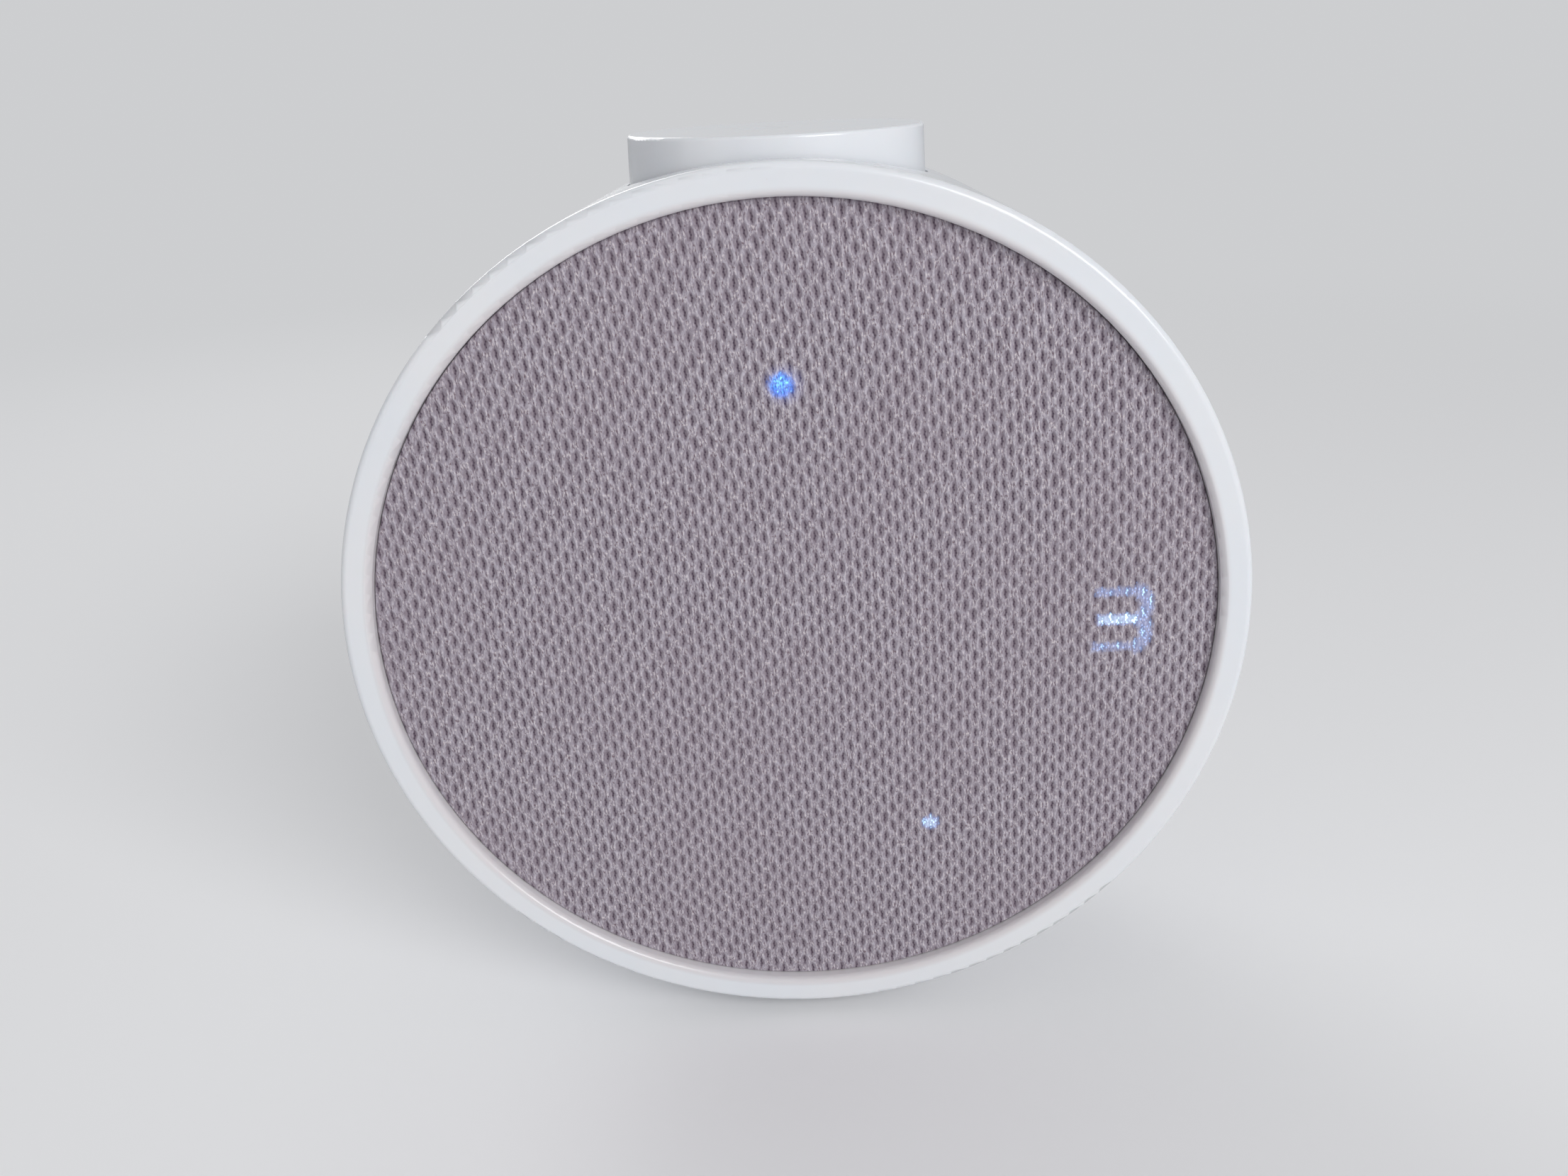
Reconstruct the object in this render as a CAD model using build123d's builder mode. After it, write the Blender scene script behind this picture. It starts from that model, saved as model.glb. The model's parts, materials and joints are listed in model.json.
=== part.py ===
from build123d import *
import os
from math import cos, hypot, radians, sin, sqrt, tan

# Smart speaker in a drum-shaped case that stands on its curved side.
# Millimetres. +X is the viewer's right, the round front faces -Y and +Z is up.
# The origin is under the middle of the drum, on the surface it stands on.

# ---------------------------------------------------------------- driving dimensions

# drum
drum_diameter = 112.6
drum_depth = 52.0
drum_lift = 2.1            # height of the drum's lowest line over the surface it stands on
drum_wall = 2.4
side_draft = 1.0           # degrees
back_edge_radius = 8.0

# front ring
ring_width = 3.8           # between the drum's outside and the cloth's opening
ring_depth = 3.0           # from the ring's face to the joint with the drum
ring_outer_round = 0.9
ring_inner_round = 0.8
spigot_length = 4.4
spigot_wall = 1.8
spigot_clearance = 0.1
ledge_width = 3.0
ledge_thickness = 1.2
catch_height = 0.5
catch_width = 7.0
catch_length = 1.2
catch_count = 5
catch_clearance = 0.2

# cloth and its frame
cloth_recess = 1.6         # from the ring's face to the cloth
cloth_thickness = 0.6
cloth_edge_round = 0.4
cloth_clearance = 0.2
frame_thickness = 1.5
frame_rim = 2.8
frame_hub_overlap = 0.2    # of the frame's hub over the dial's inside
frame_hub_rim = 2.8
spoke_width = 2.0
sound_hole_pitch = 4.2
sound_hole_radius = 1.75

# dial
dial_driver_gap = 1.0      # from the loudspeaker's flange to the dial's inside
dial_edge_gap = 1.0        # from the dial's outside to the ring's ledge
film_thickness = 0.3
mask_thickness = 4.3
hour_share = 0.64          # places across the dial, from its inside
minute_share = 0.25
microphone_share = 0.78
dial_screw_share = 0.85
window_height_share = 0.48
window_width_share = 0.375
two_figure_share = 0.57
window_round = 1.2
minute_hole_radius = 1.5
status_hole_edge = 1.1     # between the status light's hole and the dial's inside
led_margin = 0.3
microphone_port_radius = 0.8
board_thickness = 1.2
board_edge_clearance = 0.2
hour_led_size = 5.0
hour_led_height = 1.6
minute_led_length = 1.6
minute_led_width = 0.8
minute_led_height = 0.7
status_led_size = 2.6
status_led_height = 1.0
microphone_length = 3.8
microphone_width = 3.0
microphone_height = 1.0
dial_screw_angles = (15.0, 165.0, 195.0, 345.0)

# baffle
baffle_thickness = 2.0
baffle_clearance = 0.5
quarter_angles = (45.0, 135.0, 225.0, 315.0)
baffle_boss_radius = 3.0
driver_hole_clearance = 0.4

# loudspeaker
flange_radius = 27.2
flange_inner_radius = 21.6
flange_thickness = 1.0
basket_mouth_radius = 22.6
basket_base_radius = 16.4
basket_length = 12.5       # from the back of the flange to the back of the base
basket_base_thickness = 1.0
basket_wall = 1.0
basket_bore = 9.0
spider_step_radius = 14.8
spider_step_height = 2.6
basket_window_width = 14.0
surround_land_radius = 23.6
surround_roll_radius = 20.2
surround_roll_half_width = 1.7
surround_roll_height = 1.4
surround_thickness = 0.4
cone_rim_radius = 18.7
cone_rim_inner = 17.5
cone_length = 6.6
cone_thickness = 0.5
coil_former_radius = 6.7
coil_former_wall = 0.3
coil_former_length = 10.0
winding_thickness = 0.4
winding_length = 3.0
former_clearance = 0.05
spider_outer_radius = 16.6
spider_land_inner = 15.0
spider_thickness = 0.4
spider_rolls = 4
surround_facets = 6
spider_roll_height = 0.4
dust_cap_radius = 8.0
dust_cap_height = 2.4
dust_cap_thickness = 0.4
gasket_thickness = 0.8
gasket_inner_radius = 22.0
pole_radius = 6.0
magnet_gap_radius = 7.5
top_plate_radius = 14.0
top_plate_thickness = 2.5
magnet_radius = 15.5
magnet_bore = 9.5
magnet_thickness = 7.0
yoke_radius = 14.6
yoke_thickness = 2.5
strip_width = 10.0
strip_length = 8.0
strip_thickness = 1.0
strip_overlap = 1.6
lug_length = 4.0
lug_width = 1.6
lug_thickness = 0.5
lug_spacing = 5.6

# sealed box behind the loudspeaker
chamber_margin = 3.8       # outside the loudspeaker's flange
yoke_gap = 2.0             # behind the loudspeaker
chamber_wall = 2.0
chamber_edge_radius = 3.0
chamber_flange_width = 4.6
chamber_flange_thickness = 2.0

# crown button
crown_radius = 18.45       # at the foot of its side wall
crown_draft = 2.0          # degrees
crown_rise = 2.4           # above the top of the drum
crown_setback = 3.9        # from the ring's face to the front of the crown
crown_wall = 1.8
crown_edge_round = 0.4
crown_skirt = 8.8          # height of the crown's side wall
crown_hole_clearance = 0.25
crown_travel = 0.7
dimple_radius = 3.4
dimple_depth = 0.45
dimple_place = -1.9        # to the left of the crown's axis
crown_post_radius = 2.0
crown_post_clearance = 0.08
crown_leg_place = 12.0
crown_leg_width = 4.0
crown_leg_thickness = 1.4
crown_hook_reach = 1.0
crown_hook_height = 1.0
crown_hook_gap = 0.1

# button carrier under the crown
well_wall = 1.8
collar_depth = 12.6        # from the crown's top to the collar's upper face
collar_thickness = 2.0
collar_front_gap = 0.6
ear_reach = 1.75           # from the well's outside to the ears' screws
ear_radius = 2.4
guide_height = 3.0
guide_wall = 1.3
slot_clearance = 0.3
spring_radius = 4.4
spring_wire = 0.7
spring_turns = 4
spring_end_gap = 0.05
notch_margin = 0.35
switch_size = 6.0
switch_height = 1.9
switch_stem_radius = 1.7
switch_stem_clearance = 0.08
switch_stem_rise = 0.9
switch_gap = 0.1
switch_board_width = 22.0
switch_board_length = 14.0
switch_board_thickness = 1.0
switch_post_place = 8.0
switch_post_radius = 1.9

# main board, on posts from the back wall
main_board_width = 62.0
main_board_height = 40.0
main_board_thickness = 1.6
main_board_corner = 2.0
main_board_rise = 2.0
main_board_share = 0.215   # gap before the board, in the room behind the sealed box
main_post_radius = 3.0
main_post_inset = 4.0
board_part_round = 0.4
capacitor_radius = 3.2
capacitor_share = 0.72     # of the room behind the board
capacitor_pitch = 8.0

# power socket
socket_drop = 36.0         # below the drum's axis
socket_width = 7.6
socket_height = 2.7
socket_length = 5.5
socket_shell = 0.35
socket_tongue = 0.6
socket_reach = 0.7         # how far it stands out of the bulkhead
socket_window_clearance = 0.2
plug_room_width = 11.6
plug_room_height = 7.6
plug_room_depth = 4.8
plug_room_wall = 1.4
plug_room_round = 2.0
bulkhead_thickness = 1.0
socket_board_width = 18.0
socket_board_length = 10.4
socket_board_thickness = 1.0
shelf_width = 21.0
shelf_thickness = 2.0
shelf_rib_place = 7.0
shelf_rib_thickness = 1.6
socket_screw_place = 6.6

# foot
foot_width = 44.0
foot_length = 33.0
foot_corner = 10.0
foot_bottom = 0.6
foot_seat = 5.2            # height of the flat seat in the drum's belly
foot_seat_clearance = 0.2
foot_seat_wall = 2.4
rubber_thickness = 1.2
rubber_margin = 1.6
rubber_clearance = 0.05
foot_screw_circle = 11.5
foot_screw_angles = (90, 210, 330)
foot_boss_radius = 2.8
foot_boss_top = 10.5
foot_counterbore = 1.6

# screws
screw_shank_radius = 0.95
screw_head_radius = 1.9
screw_head_height = 1.3
small_shank_radius = 0.7
small_head_radius = 1.45
small_head_height = 0.9
screw_clearance = 0.15     # round a shank that passes through
pilot_clearance = 0.03     # round a shank in its threaded hole
head_taper = 12

# ---------------------------------------------------------------- places worked out from them

drum_radius = drum_diameter / 2
drum_z = drum_lift + drum_radius
front_y = -drum_depth / 2
back_y = drum_depth / 2
joint_y = front_y + ring_depth
spigot_radius = drum_radius - drum_wall - spigot_clearance
spigot_end_y = joint_y + spigot_length
opening_radius = drum_radius - ring_width

cloth_y = front_y + cloth_recess
frame_y = cloth_y + cloth_thickness
film_y = frame_y + frame_thickness
mask_y = film_y + film_thickness
led_board_y = mask_y + mask_thickness
baffle_y = led_board_y + board_thickness
baffle_back_y = baffle_y + baffle_thickness
cloth_radius = opening_radius - cloth_clearance
frame_radius = cloth_radius - cloth_thickness
dial_inner_radius = flange_radius + dial_driver_gap
dial_outer_radius = opening_radius - ledge_width - dial_edge_gap
dial_width = dial_outer_radius - dial_inner_radius
frame_hub_radius = dial_inner_radius + frame_hub_overlap
sound_hole_limit = frame_hub_radius - frame_hub_rim
hour_circle = dial_inner_radius + hour_share * dial_width
minute_circle = dial_inner_radius + minute_share * dial_width
microphone_circle = dial_inner_radius + microphone_share * dial_width
dial_screw_circle = dial_inner_radius + dial_screw_share * dial_width
hour_window_height = window_height_share * dial_width
hour_window_width = window_width_share * dial_width
two_figure_window_width = two_figure_share * dial_width
status_hole_radius = status_led_size / sqrt(2) + led_margin
status_circle = dial_inner_radius + status_hole_edge + status_hole_radius
microphone_well_radius = hypot(microphone_length, microphone_width) / 2 + led_margin

flange_y = baffle_y - flange_thickness
basket_back_y = baffle_y + basket_length
surround_y = flange_y - surround_thickness
cone_neck_y = flange_y + cone_length
coil_y = cone_neck_y - 1.0
spider_y = basket_back_y - basket_base_thickness - spider_step_height
top_plate_back_y = basket_back_y + top_plate_thickness
magnet_back_y = top_plate_back_y + magnet_thickness
yoke_back_y = magnet_back_y + yoke_thickness
driver_screw_circle = (flange_radius + surround_land_radius) / 2

chamber_radius = flange_radius + chamber_margin
chamber_back_y = yoke_back_y + yoke_gap + chamber_wall
chamber_length = chamber_back_y - baffle_back_y
chamber_screw_circle = chamber_radius + chamber_flange_width / 2
main_board_y = chamber_back_y + main_board_share * (back_y - drum_wall - chamber_back_y)
main_board_back_y = main_board_y + main_board_thickness
board_room = back_y - drum_wall - main_board_back_y

crown_top = drum_z + drum_radius + crown_rise
crown_y = front_y + crown_setback + crown_radius
crown_hole_radius = crown_radius + crown_hole_clearance
skirt_bottom = crown_top - crown_skirt
crown_top_radius = crown_radius - crown_skirt * tan(radians(crown_draft))
crown_ceiling = crown_top - crown_wall
collar_top = crown_top - collar_depth
collar_bottom = collar_top - collar_thickness
well_radius = crown_hole_radius + well_wall
ear_place = well_radius + ear_reach
post_bottom = collar_bottom - collar_front_gap
stem_top = post_bottom - switch_gap
switch_top = stem_top - switch_stem_rise
switch_board_top = switch_top - switch_height
collar_front_y = baffle_back_y + collar_front_gap

socket_z = drum_z - socket_drop
socket_board_top = socket_z - socket_height / 2
shelf_top = socket_board_top - socket_board_thickness
plug_room_y = back_y - plug_room_depth
bulkhead_y = plug_room_y - bulkhead_thickness
socket_y = plug_room_y + socket_reach
socket_board_y = bulkhead_y - board_edge_clearance
foot_pad_top = foot_seat + foot_seat_wall
foot_pad_front_y = spigot_end_y + board_edge_clearance
foot_y = foot_pad_front_y + foot_seat_wall + foot_seat_clearance + foot_length / 2

drum_axis = Axis((0, 0, drum_z), (0, 1, 0))
crown_axis = Axis((0, crown_y, 0), (0, 0, 1))
drum_section_plane = Plane(origin=(0, 0, drum_z), x_dir=(0, 1, 0), z_dir=(1, 0, 0))
crown_section_plane = Plane(origin=(0, crown_y, 0), x_dir=(1, 0, 0), z_dir=(0, -1, 0))

hour_angles = [90 - 30 * hour for hour in range(1, 13)]


# ---------------------------------------------------------------- helpers

def across(y, x=0.0, rise=0.0):
    """Plane across the drum at depth y, facing the front, x and rise from the drum's axis."""
    return Plane(origin=(x, y, drum_z + rise), x_dir=(1, 0, 0), z_dir=(0, -1, 0))


def level(z, x=0.0, y=0.0):
    """Horizontal plane at height z."""
    return Plane(origin=(x, y, z))


def on_circle(radius, degrees):
    """Point of a circle round the drum's axis: to the right and up."""
    return (radius * cos(radians(degrees)), radius * sin(radians(degrees)))


def side_radius(y):
    """Outside radius of the drum at depth y, drafted towards the back."""
    return drum_radius - (y - joint_y) * tan(radians(side_draft))


def drum_half_section(inset, front, centre=0.0):
    """Half section of the drum inset from its outside, from depth front to the back wall."""
    back = back_y - inset
    with BuildSketch(drum_section_plane) as half:
        with BuildLine():
            Polyline(
                (front, centre),
                (front, side_radius(front) - inset),
                (back, side_radius(back) - inset),
                (back, centre),
                close=True,
            )
        make_face()
        corner = half.vertices().group_by(Axis.X)[-1].sort_by(Axis.Y)[-1]
        fillet(corner, back_edge_radius - inset)
    return half.sketch


def ring_section(*points):
    """Closed half section round the drum's axis, from (depth, radius) points."""
    with BuildSketch(drum_section_plane) as half:
        with BuildLine():
            Polyline(*points, close=True)
        make_face()
    return half.sketch


def hex_points(pitch, limit):
    """Points of a hexagonal grid that lie within a circle."""
    rows = int(limit / (pitch * sqrt(3) / 2)) + 1
    columns = int(limit / pitch) + 1
    points = []
    for row in range(-rows, rows + 1):
        for column in range(-columns, columns + 1):
            x = pitch * (column + 0.5 * (row % 2))
            y = pitch * row * sqrt(3) / 2
            if hypot(x, y) <= limit:
                points.append((x, y))
    return points


def screw_group(seats, length, small=False):
    """Pan-head screws, one on each seat plane, whose normal points out of the head."""
    head_radius = small_head_radius if small else screw_head_radius
    head_height = small_head_height if small else screw_head_height
    shank_radius = small_shank_radius if small else screw_shank_radius
    with BuildPart() as group:
        with BuildSketch(*seats):
            Circle(head_radius)
        extrude(amount=head_height, taper=head_taper)
        with BuildSketch(*seats):
            Circle(shank_radius)
        extrude(amount=-length)
    return group


def foot_outline(z, grow=0.0):
    """The foot's rounded outline at height z, grown or shrunk all round."""
    with BuildSketch(level(z, 0, foot_y)) as outline:
        RectangleRounded(foot_width + 2 * grow, foot_length + 2 * grow, foot_corner + grow)
    return outline.sketch


def dome_arc(rim_depth, rim_radius, height):
    """Arc of a dome round the drum's axis, from its rim forward to its top on the axis."""
    sphere = (rim_radius**2 + height**2) / (2 * height)
    middle = rim_radius / 2
    middle_depth = rim_depth - height + sphere - sqrt(sphere**2 - middle**2)
    return ThreePointArc((rim_depth, rim_radius), (middle_depth, middle), (rim_depth - height, 0))


def save(piece, name):
    """Label a finished piece and write its file."""
    piece.part.label = name
    export_step(piece.part, f"parts/{name}.step")


os.makedirs("parts", exist_ok=True)

baffle_radius = side_radius(baffle_y) - drum_wall - baffle_clearance
baffle_screw_circle = dial_outer_radius + screw_head_radius + screw_clearance

# seats of every group of screws, shared by the screws and by the holes they go through
dial_screw_seats = [across(mask_y + mask_thickness / 2, *on_circle(dial_screw_circle, a)) for a in dial_screw_angles]
dial_screw_length = mask_thickness / 2 + board_thickness + baffle_thickness
baffle_screw_seats = [across(baffle_y, *on_circle(baffle_screw_circle, a)) for a in quarter_angles]
baffle_screw_length = 9.0
driver_screw_seats = [across(flange_y, *on_circle(driver_screw_circle, a)) for a in quarter_angles]
driver_screw_length = flange_thickness + baffle_thickness
chamber_flange_back_y = baffle_back_y + chamber_flange_thickness
chamber_screw_seats = [
    Plane(
        origin=(on_circle(chamber_screw_circle, a)[0], chamber_flange_back_y, drum_z + on_circle(chamber_screw_circle, a)[1]),
        x_dir=(-1, 0, 0),
        z_dir=(0, 1, 0),
    )
    for a in (0, 90, 180, 270)
]
chamber_screw_length = chamber_flange_thickness + baffle_thickness - board_edge_clearance
main_post_x = main_board_width / 2 - main_post_inset
main_post_rise = main_board_height / 2 - main_post_inset
main_post_places = [
    (side * main_post_x, main_board_rise + up * main_post_rise) for side in (-1, 1) for up in (-1, 1)
]
main_screw_seats = [across(main_board_y, x, rise) for x, rise in main_post_places]
main_screw_length = 6.0
collar_screw_seats = [
    Plane(origin=(side * ear_place, crown_y, collar_bottom), x_dir=(1, 0, 0), z_dir=(0, 0, -1)) for side in (-1, 1)
]
collar_screw_length = 4.6
switch_screw_seats = [
    Plane(
        origin=(side * switch_post_place, crown_y, switch_board_top - switch_board_thickness),
        x_dir=(1, 0, 0),
        z_dir=(0, 0, -1),
    )
    for side in (-1, 1)
]
switch_screw_length = 3.6
socket_screw_y = socket_board_y - socket_board_length + 2.6
socket_screw_seats = [level(socket_board_top, side * socket_screw_place, socket_screw_y) for side in (-1, 1)]
socket_screw_length = socket_board_thickness + shelf_thickness
foot_screw_places = [
    (foot_screw_circle * cos(radians(a)), foot_y + foot_screw_circle * sin(radians(a))) for a in foot_screw_angles
]
foot_screw_z = rubber_thickness + foot_counterbore
foot_screw_seats = [
    Plane(origin=(x, y, foot_screw_z), x_dir=(1, 0, 0), z_dir=(0, 0, -1)) for x, y in foot_screw_places
]
foot_screw_length = 7.0

# ---------------------------------------------------------------- drum shell

drum_outside = drum_half_section(0, joint_y)
drum_inside = drum_half_section(drum_wall, joint_y - 1)

with BuildPart() as drum_body:
    revolve(drum_outside, axis=drum_axis)

# everything moulded on the inside of the shell, trimmed afterwards to the drum's outside
with BuildPart() as shell_fittings:
    # wall round the crown, open in front where the baffle stands, with two ears for the collar
    with BuildSketch(level(collar_top, 0, crown_y)):
        Circle(well_radius)
        with Locations((-ear_place, 0), (ear_place, 0)):
            Circle(ear_radius)
        with Locations((0, collar_front_y - crown_y - well_radius)):
            Rectangle(4 * well_radius, 2 * well_radius, mode=Mode.SUBTRACT)
    extrude(amount=crown_top - collar_top)
    # posts for the baffle, webbed to the side wall
    with BuildSketch(across(baffle_back_y)):
        for angle in quarter_angles:
            with Locations(Location((0, 0, 0), (0, 0, angle))):
                with Locations((baffle_screw_circle, 0)):
                    Circle(baffle_boss_radius)
                with Locations((baffle_screw_circle + baffle_boss_radius, 0)):
                    Rectangle(2 * baffle_boss_radius, drum_wall)
    extrude(amount=baffle_back_y - back_y)
    # posts for the main board
    with BuildSketch(across(main_board_back_y)):
        with Locations(*main_post_places):
            Circle(main_post_radius)
    extrude(amount=main_board_back_y - back_y)
    # shelf for the socket board, with two ribs down to the belly
    shelf_front_y = socket_board_y - socket_board_length
    with BuildSketch(level(shelf_top - shelf_thickness, 0, (shelf_front_y + back_y) / 2)):
        Rectangle(shelf_width, back_y - shelf_front_y)
    extrude(amount=shelf_thickness)
    rib_front_y = foot_y + foot_screw_circle + foot_boss_radius
    with BuildSketch(level(0, 0, (rib_front_y + back_y) / 2)):
        with Locations((-shelf_rib_place, 0), (shelf_rib_place, 0)):
            Rectangle(shelf_rib_thickness, back_y - rib_front_y)
    extrude(amount=shelf_top)
    # walls of the plug's room
    with BuildSketch(across(bulkhead_y, 0, -socket_drop)):
        RectangleRounded(
            plug_room_width + 2 * plug_room_wall, plug_room_height + 2 * plug_room_wall, plug_room_round + plug_room_wall
        )
    extrude(amount=bulkhead_y - back_y)
    # pad over the foot's seat, with its screw bosses
    extrude(foot_outline(0, foot_seat_clearance + foot_seat_wall), amount=foot_pad_top)
    with BuildSketch(level(foot_seat)):
        with Locations(*foot_screw_places):
            Circle(foot_boss_radius)
    extrude(amount=foot_boss_top - foot_seat)
    add(drum_body.part, mode=Mode.INTERSECT)

with BuildPart() as drum_shell:
    add(drum_body.part)
    revolve(drum_inside, axis=drum_axis, mode=Mode.SUBTRACT)
    add(shell_fittings.part)
    # hole for the crown, down through its well
    with BuildSketch(level(collar_top, 0, crown_y)):
        Circle(crown_hole_radius)
    extrude(amount=crown_top - collar_top, mode=Mode.SUBTRACT)
    # threaded holes
    with BuildSketch(*[seat.offset(-baffle_thickness) for seat in baffle_screw_seats]):
        Circle(screw_shank_radius + pilot_clearance)
    extrude(amount=-baffle_screw_length, mode=Mode.SUBTRACT)
    with BuildSketch(*main_screw_seats):
        Circle(small_shank_radius + pilot_clearance)
    extrude(amount=-main_screw_length, mode=Mode.SUBTRACT)
    with BuildSketch(*collar_screw_seats):
        Circle(small_shank_radius + pilot_clearance)
    extrude(amount=-collar_screw_length, mode=Mode.SUBTRACT)
    with BuildSketch(*socket_screw_seats):
        Circle(small_shank_radius + pilot_clearance)
    extrude(amount=-socket_screw_length, mode=Mode.SUBTRACT)
    with BuildSketch(*foot_screw_seats):
        Circle(screw_shank_radius + pilot_clearance)
    extrude(amount=-foot_screw_length, mode=Mode.SUBTRACT)
    # seat for the foot
    extrude(foot_outline(0, foot_seat_clearance), amount=foot_seat, mode=Mode.SUBTRACT)
    # room for the plug, and the window that the socket looks through
    with BuildSketch(across(plug_room_y, 0, -socket_drop)):
        RectangleRounded(plug_room_width, plug_room_height, plug_room_round)
    extrude(amount=-plug_room_depth, mode=Mode.SUBTRACT)
    with BuildSketch(across(bulkhead_y, 0, -socket_drop)):
        Rectangle(socket_width + 2 * socket_window_clearance, socket_height + 2 * socket_window_clearance)
    extrude(amount=-bulkhead_thickness, mode=Mode.SUBTRACT)
    # pockets for the ring's catches
    catch_y = (joint_y + spigot_end_y) / 2
    with BuildSketch(across(catch_y - catch_length / 2 - catch_clearance)):
        with PolarLocations(spigot_radius, catch_count, start_angle=-90):
            Rectangle(2 * drum_wall, catch_width + 2 * catch_clearance)
        Circle(spigot_radius + catch_height + catch_clearance, mode=Mode.INTERSECT)
    extrude(amount=-catch_length - 2 * catch_clearance, mode=Mode.SUBTRACT)
save(drum_shell, "drum_shell")

# ---------------------------------------------------------------- front ring

with BuildPart() as front_bezel:
    with BuildSketch(drum_section_plane) as ring_half:
        with BuildLine():
            Polyline(
                (front_y, opening_radius),
                (front_y, drum_radius),
                (joint_y, drum_radius),
                (joint_y, spigot_radius),
                (spigot_end_y, spigot_radius),
                (spigot_end_y, spigot_radius - spigot_wall),
                (film_y + ledge_thickness, spigot_radius - spigot_wall),
                (film_y + ledge_thickness, opening_radius - ledge_width),
                (film_y, opening_radius - ledge_width),
                (film_y, opening_radius),
                close=True,
            )
        make_face()
        face_corners = ring_half.vertices().group_by(Axis.X)[0].sort_by(Axis.Y)
        fillet(face_corners[-1], ring_outer_round)
        fillet(ring_half.vertices().group_by(Axis.X)[0].sort_by(Axis.Y)[0], ring_inner_round)
    revolve(axis=drum_axis)
    # catches that click into the shell
    with BuildSketch(across(catch_y - catch_length / 2)):
        with PolarLocations(spigot_radius, catch_count, start_angle=-90):
            Rectangle(spigot_wall, catch_width)
        Circle(spigot_radius + catch_height, mode=Mode.INTERSECT)
    extrude(amount=-catch_length)
    # room for the crown behind the ring
    with BuildSketch(level(collar_top, 0, crown_y)):
        Circle(crown_hole_radius + notch_margin)
    extrude(amount=crown_top - collar_top, mode=Mode.SUBTRACT)
save(front_bezel, "front_bezel")

# ---------------------------------------------------------------- cloth and its frame

with BuildPart() as grille_fabric:
    with BuildSketch(drum_section_plane) as cloth_half:
        with BuildLine():
            Polyline(
                (cloth_y, 0),
                (cloth_y, cloth_radius),
                (film_y, cloth_radius),
                (film_y, frame_radius),
                (frame_y, frame_radius),
                (frame_y, 0),
                close=True,
            )
        make_face()
        fillet(cloth_half.vertices().group_by(Axis.X)[0].sort_by(Axis.Y)[-1], cloth_edge_round)
    revolve(axis=drum_axis)
save(grille_fabric, "grille_fabric")

with BuildPart() as grille_frame:
    with BuildSketch(across(frame_y)):
        Circle(frame_radius)
        Circle(frame_radius - frame_rim, mode=Mode.SUBTRACT)
        Circle(frame_hub_radius)
        with PolarLocations((frame_hub_radius + frame_radius - frame_rim) / 2, len(hour_angles), start_angle=15):
            Rectangle(frame_radius - frame_rim - frame_hub_radius + spoke_width, spoke_width)
        with Locations(*hex_points(sound_hole_pitch, sound_hole_limit)):
            RegularPolygon(sound_hole_radius, 6, mode=Mode.SUBTRACT)
    extrude(amount=-frame_thickness)
save(grille_frame, "grille_frame")

# ---------------------------------------------------------------- dial

microphone_places = [on_circle(microphone_circle, 45), on_circle(microphone_circle, 135)]
minute_places = [on_circle(minute_circle, a) for a in hour_angles[:-1]]
status_place = (0, status_circle)
hour_places = [on_circle(hour_circle, a) for a in hour_angles]
dial_screw_places = [on_circle(dial_screw_circle, a) for a in dial_screw_angles]

with BuildPart() as dial_film:
    with BuildSketch(across(film_y)):
        Circle(dial_outer_radius)
        Circle(dial_inner_radius, mode=Mode.SUBTRACT)
        with Locations(*microphone_places):
            Circle(microphone_port_radius, mode=Mode.SUBTRACT)
    extrude(amount=-film_thickness)
save(dial_film, "dial_film")

with BuildPart() as light_mask:
    with BuildSketch(across(mask_y)):
        Circle(dial_outer_radius)
        Circle(dial_inner_radius, mode=Mode.SUBTRACT)
        with Locations(*hour_places[:9]):
            RectangleRounded(hour_window_width, hour_window_height, window_round, mode=Mode.SUBTRACT)
        with Locations(*hour_places[9:]):
            RectangleRounded(two_figure_window_width, hour_window_height, window_round, mode=Mode.SUBTRACT)
        with Locations(*minute_places):
            Circle(minute_hole_radius, mode=Mode.SUBTRACT)
        with Locations(status_place):
            Circle(status_hole_radius, mode=Mode.SUBTRACT)
        with Locations(*microphone_places):
            Circle(microphone_well_radius, mode=Mode.SUBTRACT)
        with Locations(*dial_screw_places):
            Circle(small_shank_radius + screw_clearance, mode=Mode.SUBTRACT)
    extrude(amount=-mask_thickness)
    # heads of the dial's screws lie below the mask's face
    with BuildSketch(*dial_screw_seats):
        Circle(small_head_radius + screw_clearance)
    extrude(amount=mask_thickness / 2, mode=Mode.SUBTRACT)
save(light_mask, "light_mask")

with BuildPart() as led_board:
    with BuildSketch(across(led_board_y)):
        Circle(dial_outer_radius - board_edge_clearance)
        Circle(dial_inner_radius + board_edge_clearance, mode=Mode.SUBTRACT)
        with Locations(*dial_screw_places):
            Circle(small_shank_radius + screw_clearance, mode=Mode.SUBTRACT)
    extrude(amount=-board_thickness)
save(led_board, "led_board")

with BuildPart() as hour_leds:
    with BuildSketch(across(led_board_y)):
        with Locations(*hour_places):
            Rectangle(hour_led_size, hour_led_size)
    extrude(amount=hour_led_height)
save(hour_leds, "hour_leds")

with BuildPart() as minute_leds:
    with BuildSketch(across(led_board_y)):
        with Locations(*minute_places):
            Rectangle(minute_led_length, minute_led_width)
    extrude(amount=minute_led_height)
save(minute_leds, "minute_leds")

with BuildPart() as status_led:
    with BuildSketch(across(led_board_y)):
        with Locations(status_place):
            Rectangle(status_led_size, status_led_size)
    extrude(amount=status_led_height)
save(status_led, "status_led")

with BuildPart() as microphones:
    with BuildSketch(across(led_board_y)):
        with Locations(*microphone_places):
            Rectangle(microphone_width, microphone_length)
    extrude(amount=microphone_height)
save(microphones, "microphones")

dial_screws = screw_group(dial_screw_seats, dial_screw_length, small=True)
save(dial_screws, "dial_screws")

# ---------------------------------------------------------------- baffle

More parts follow.
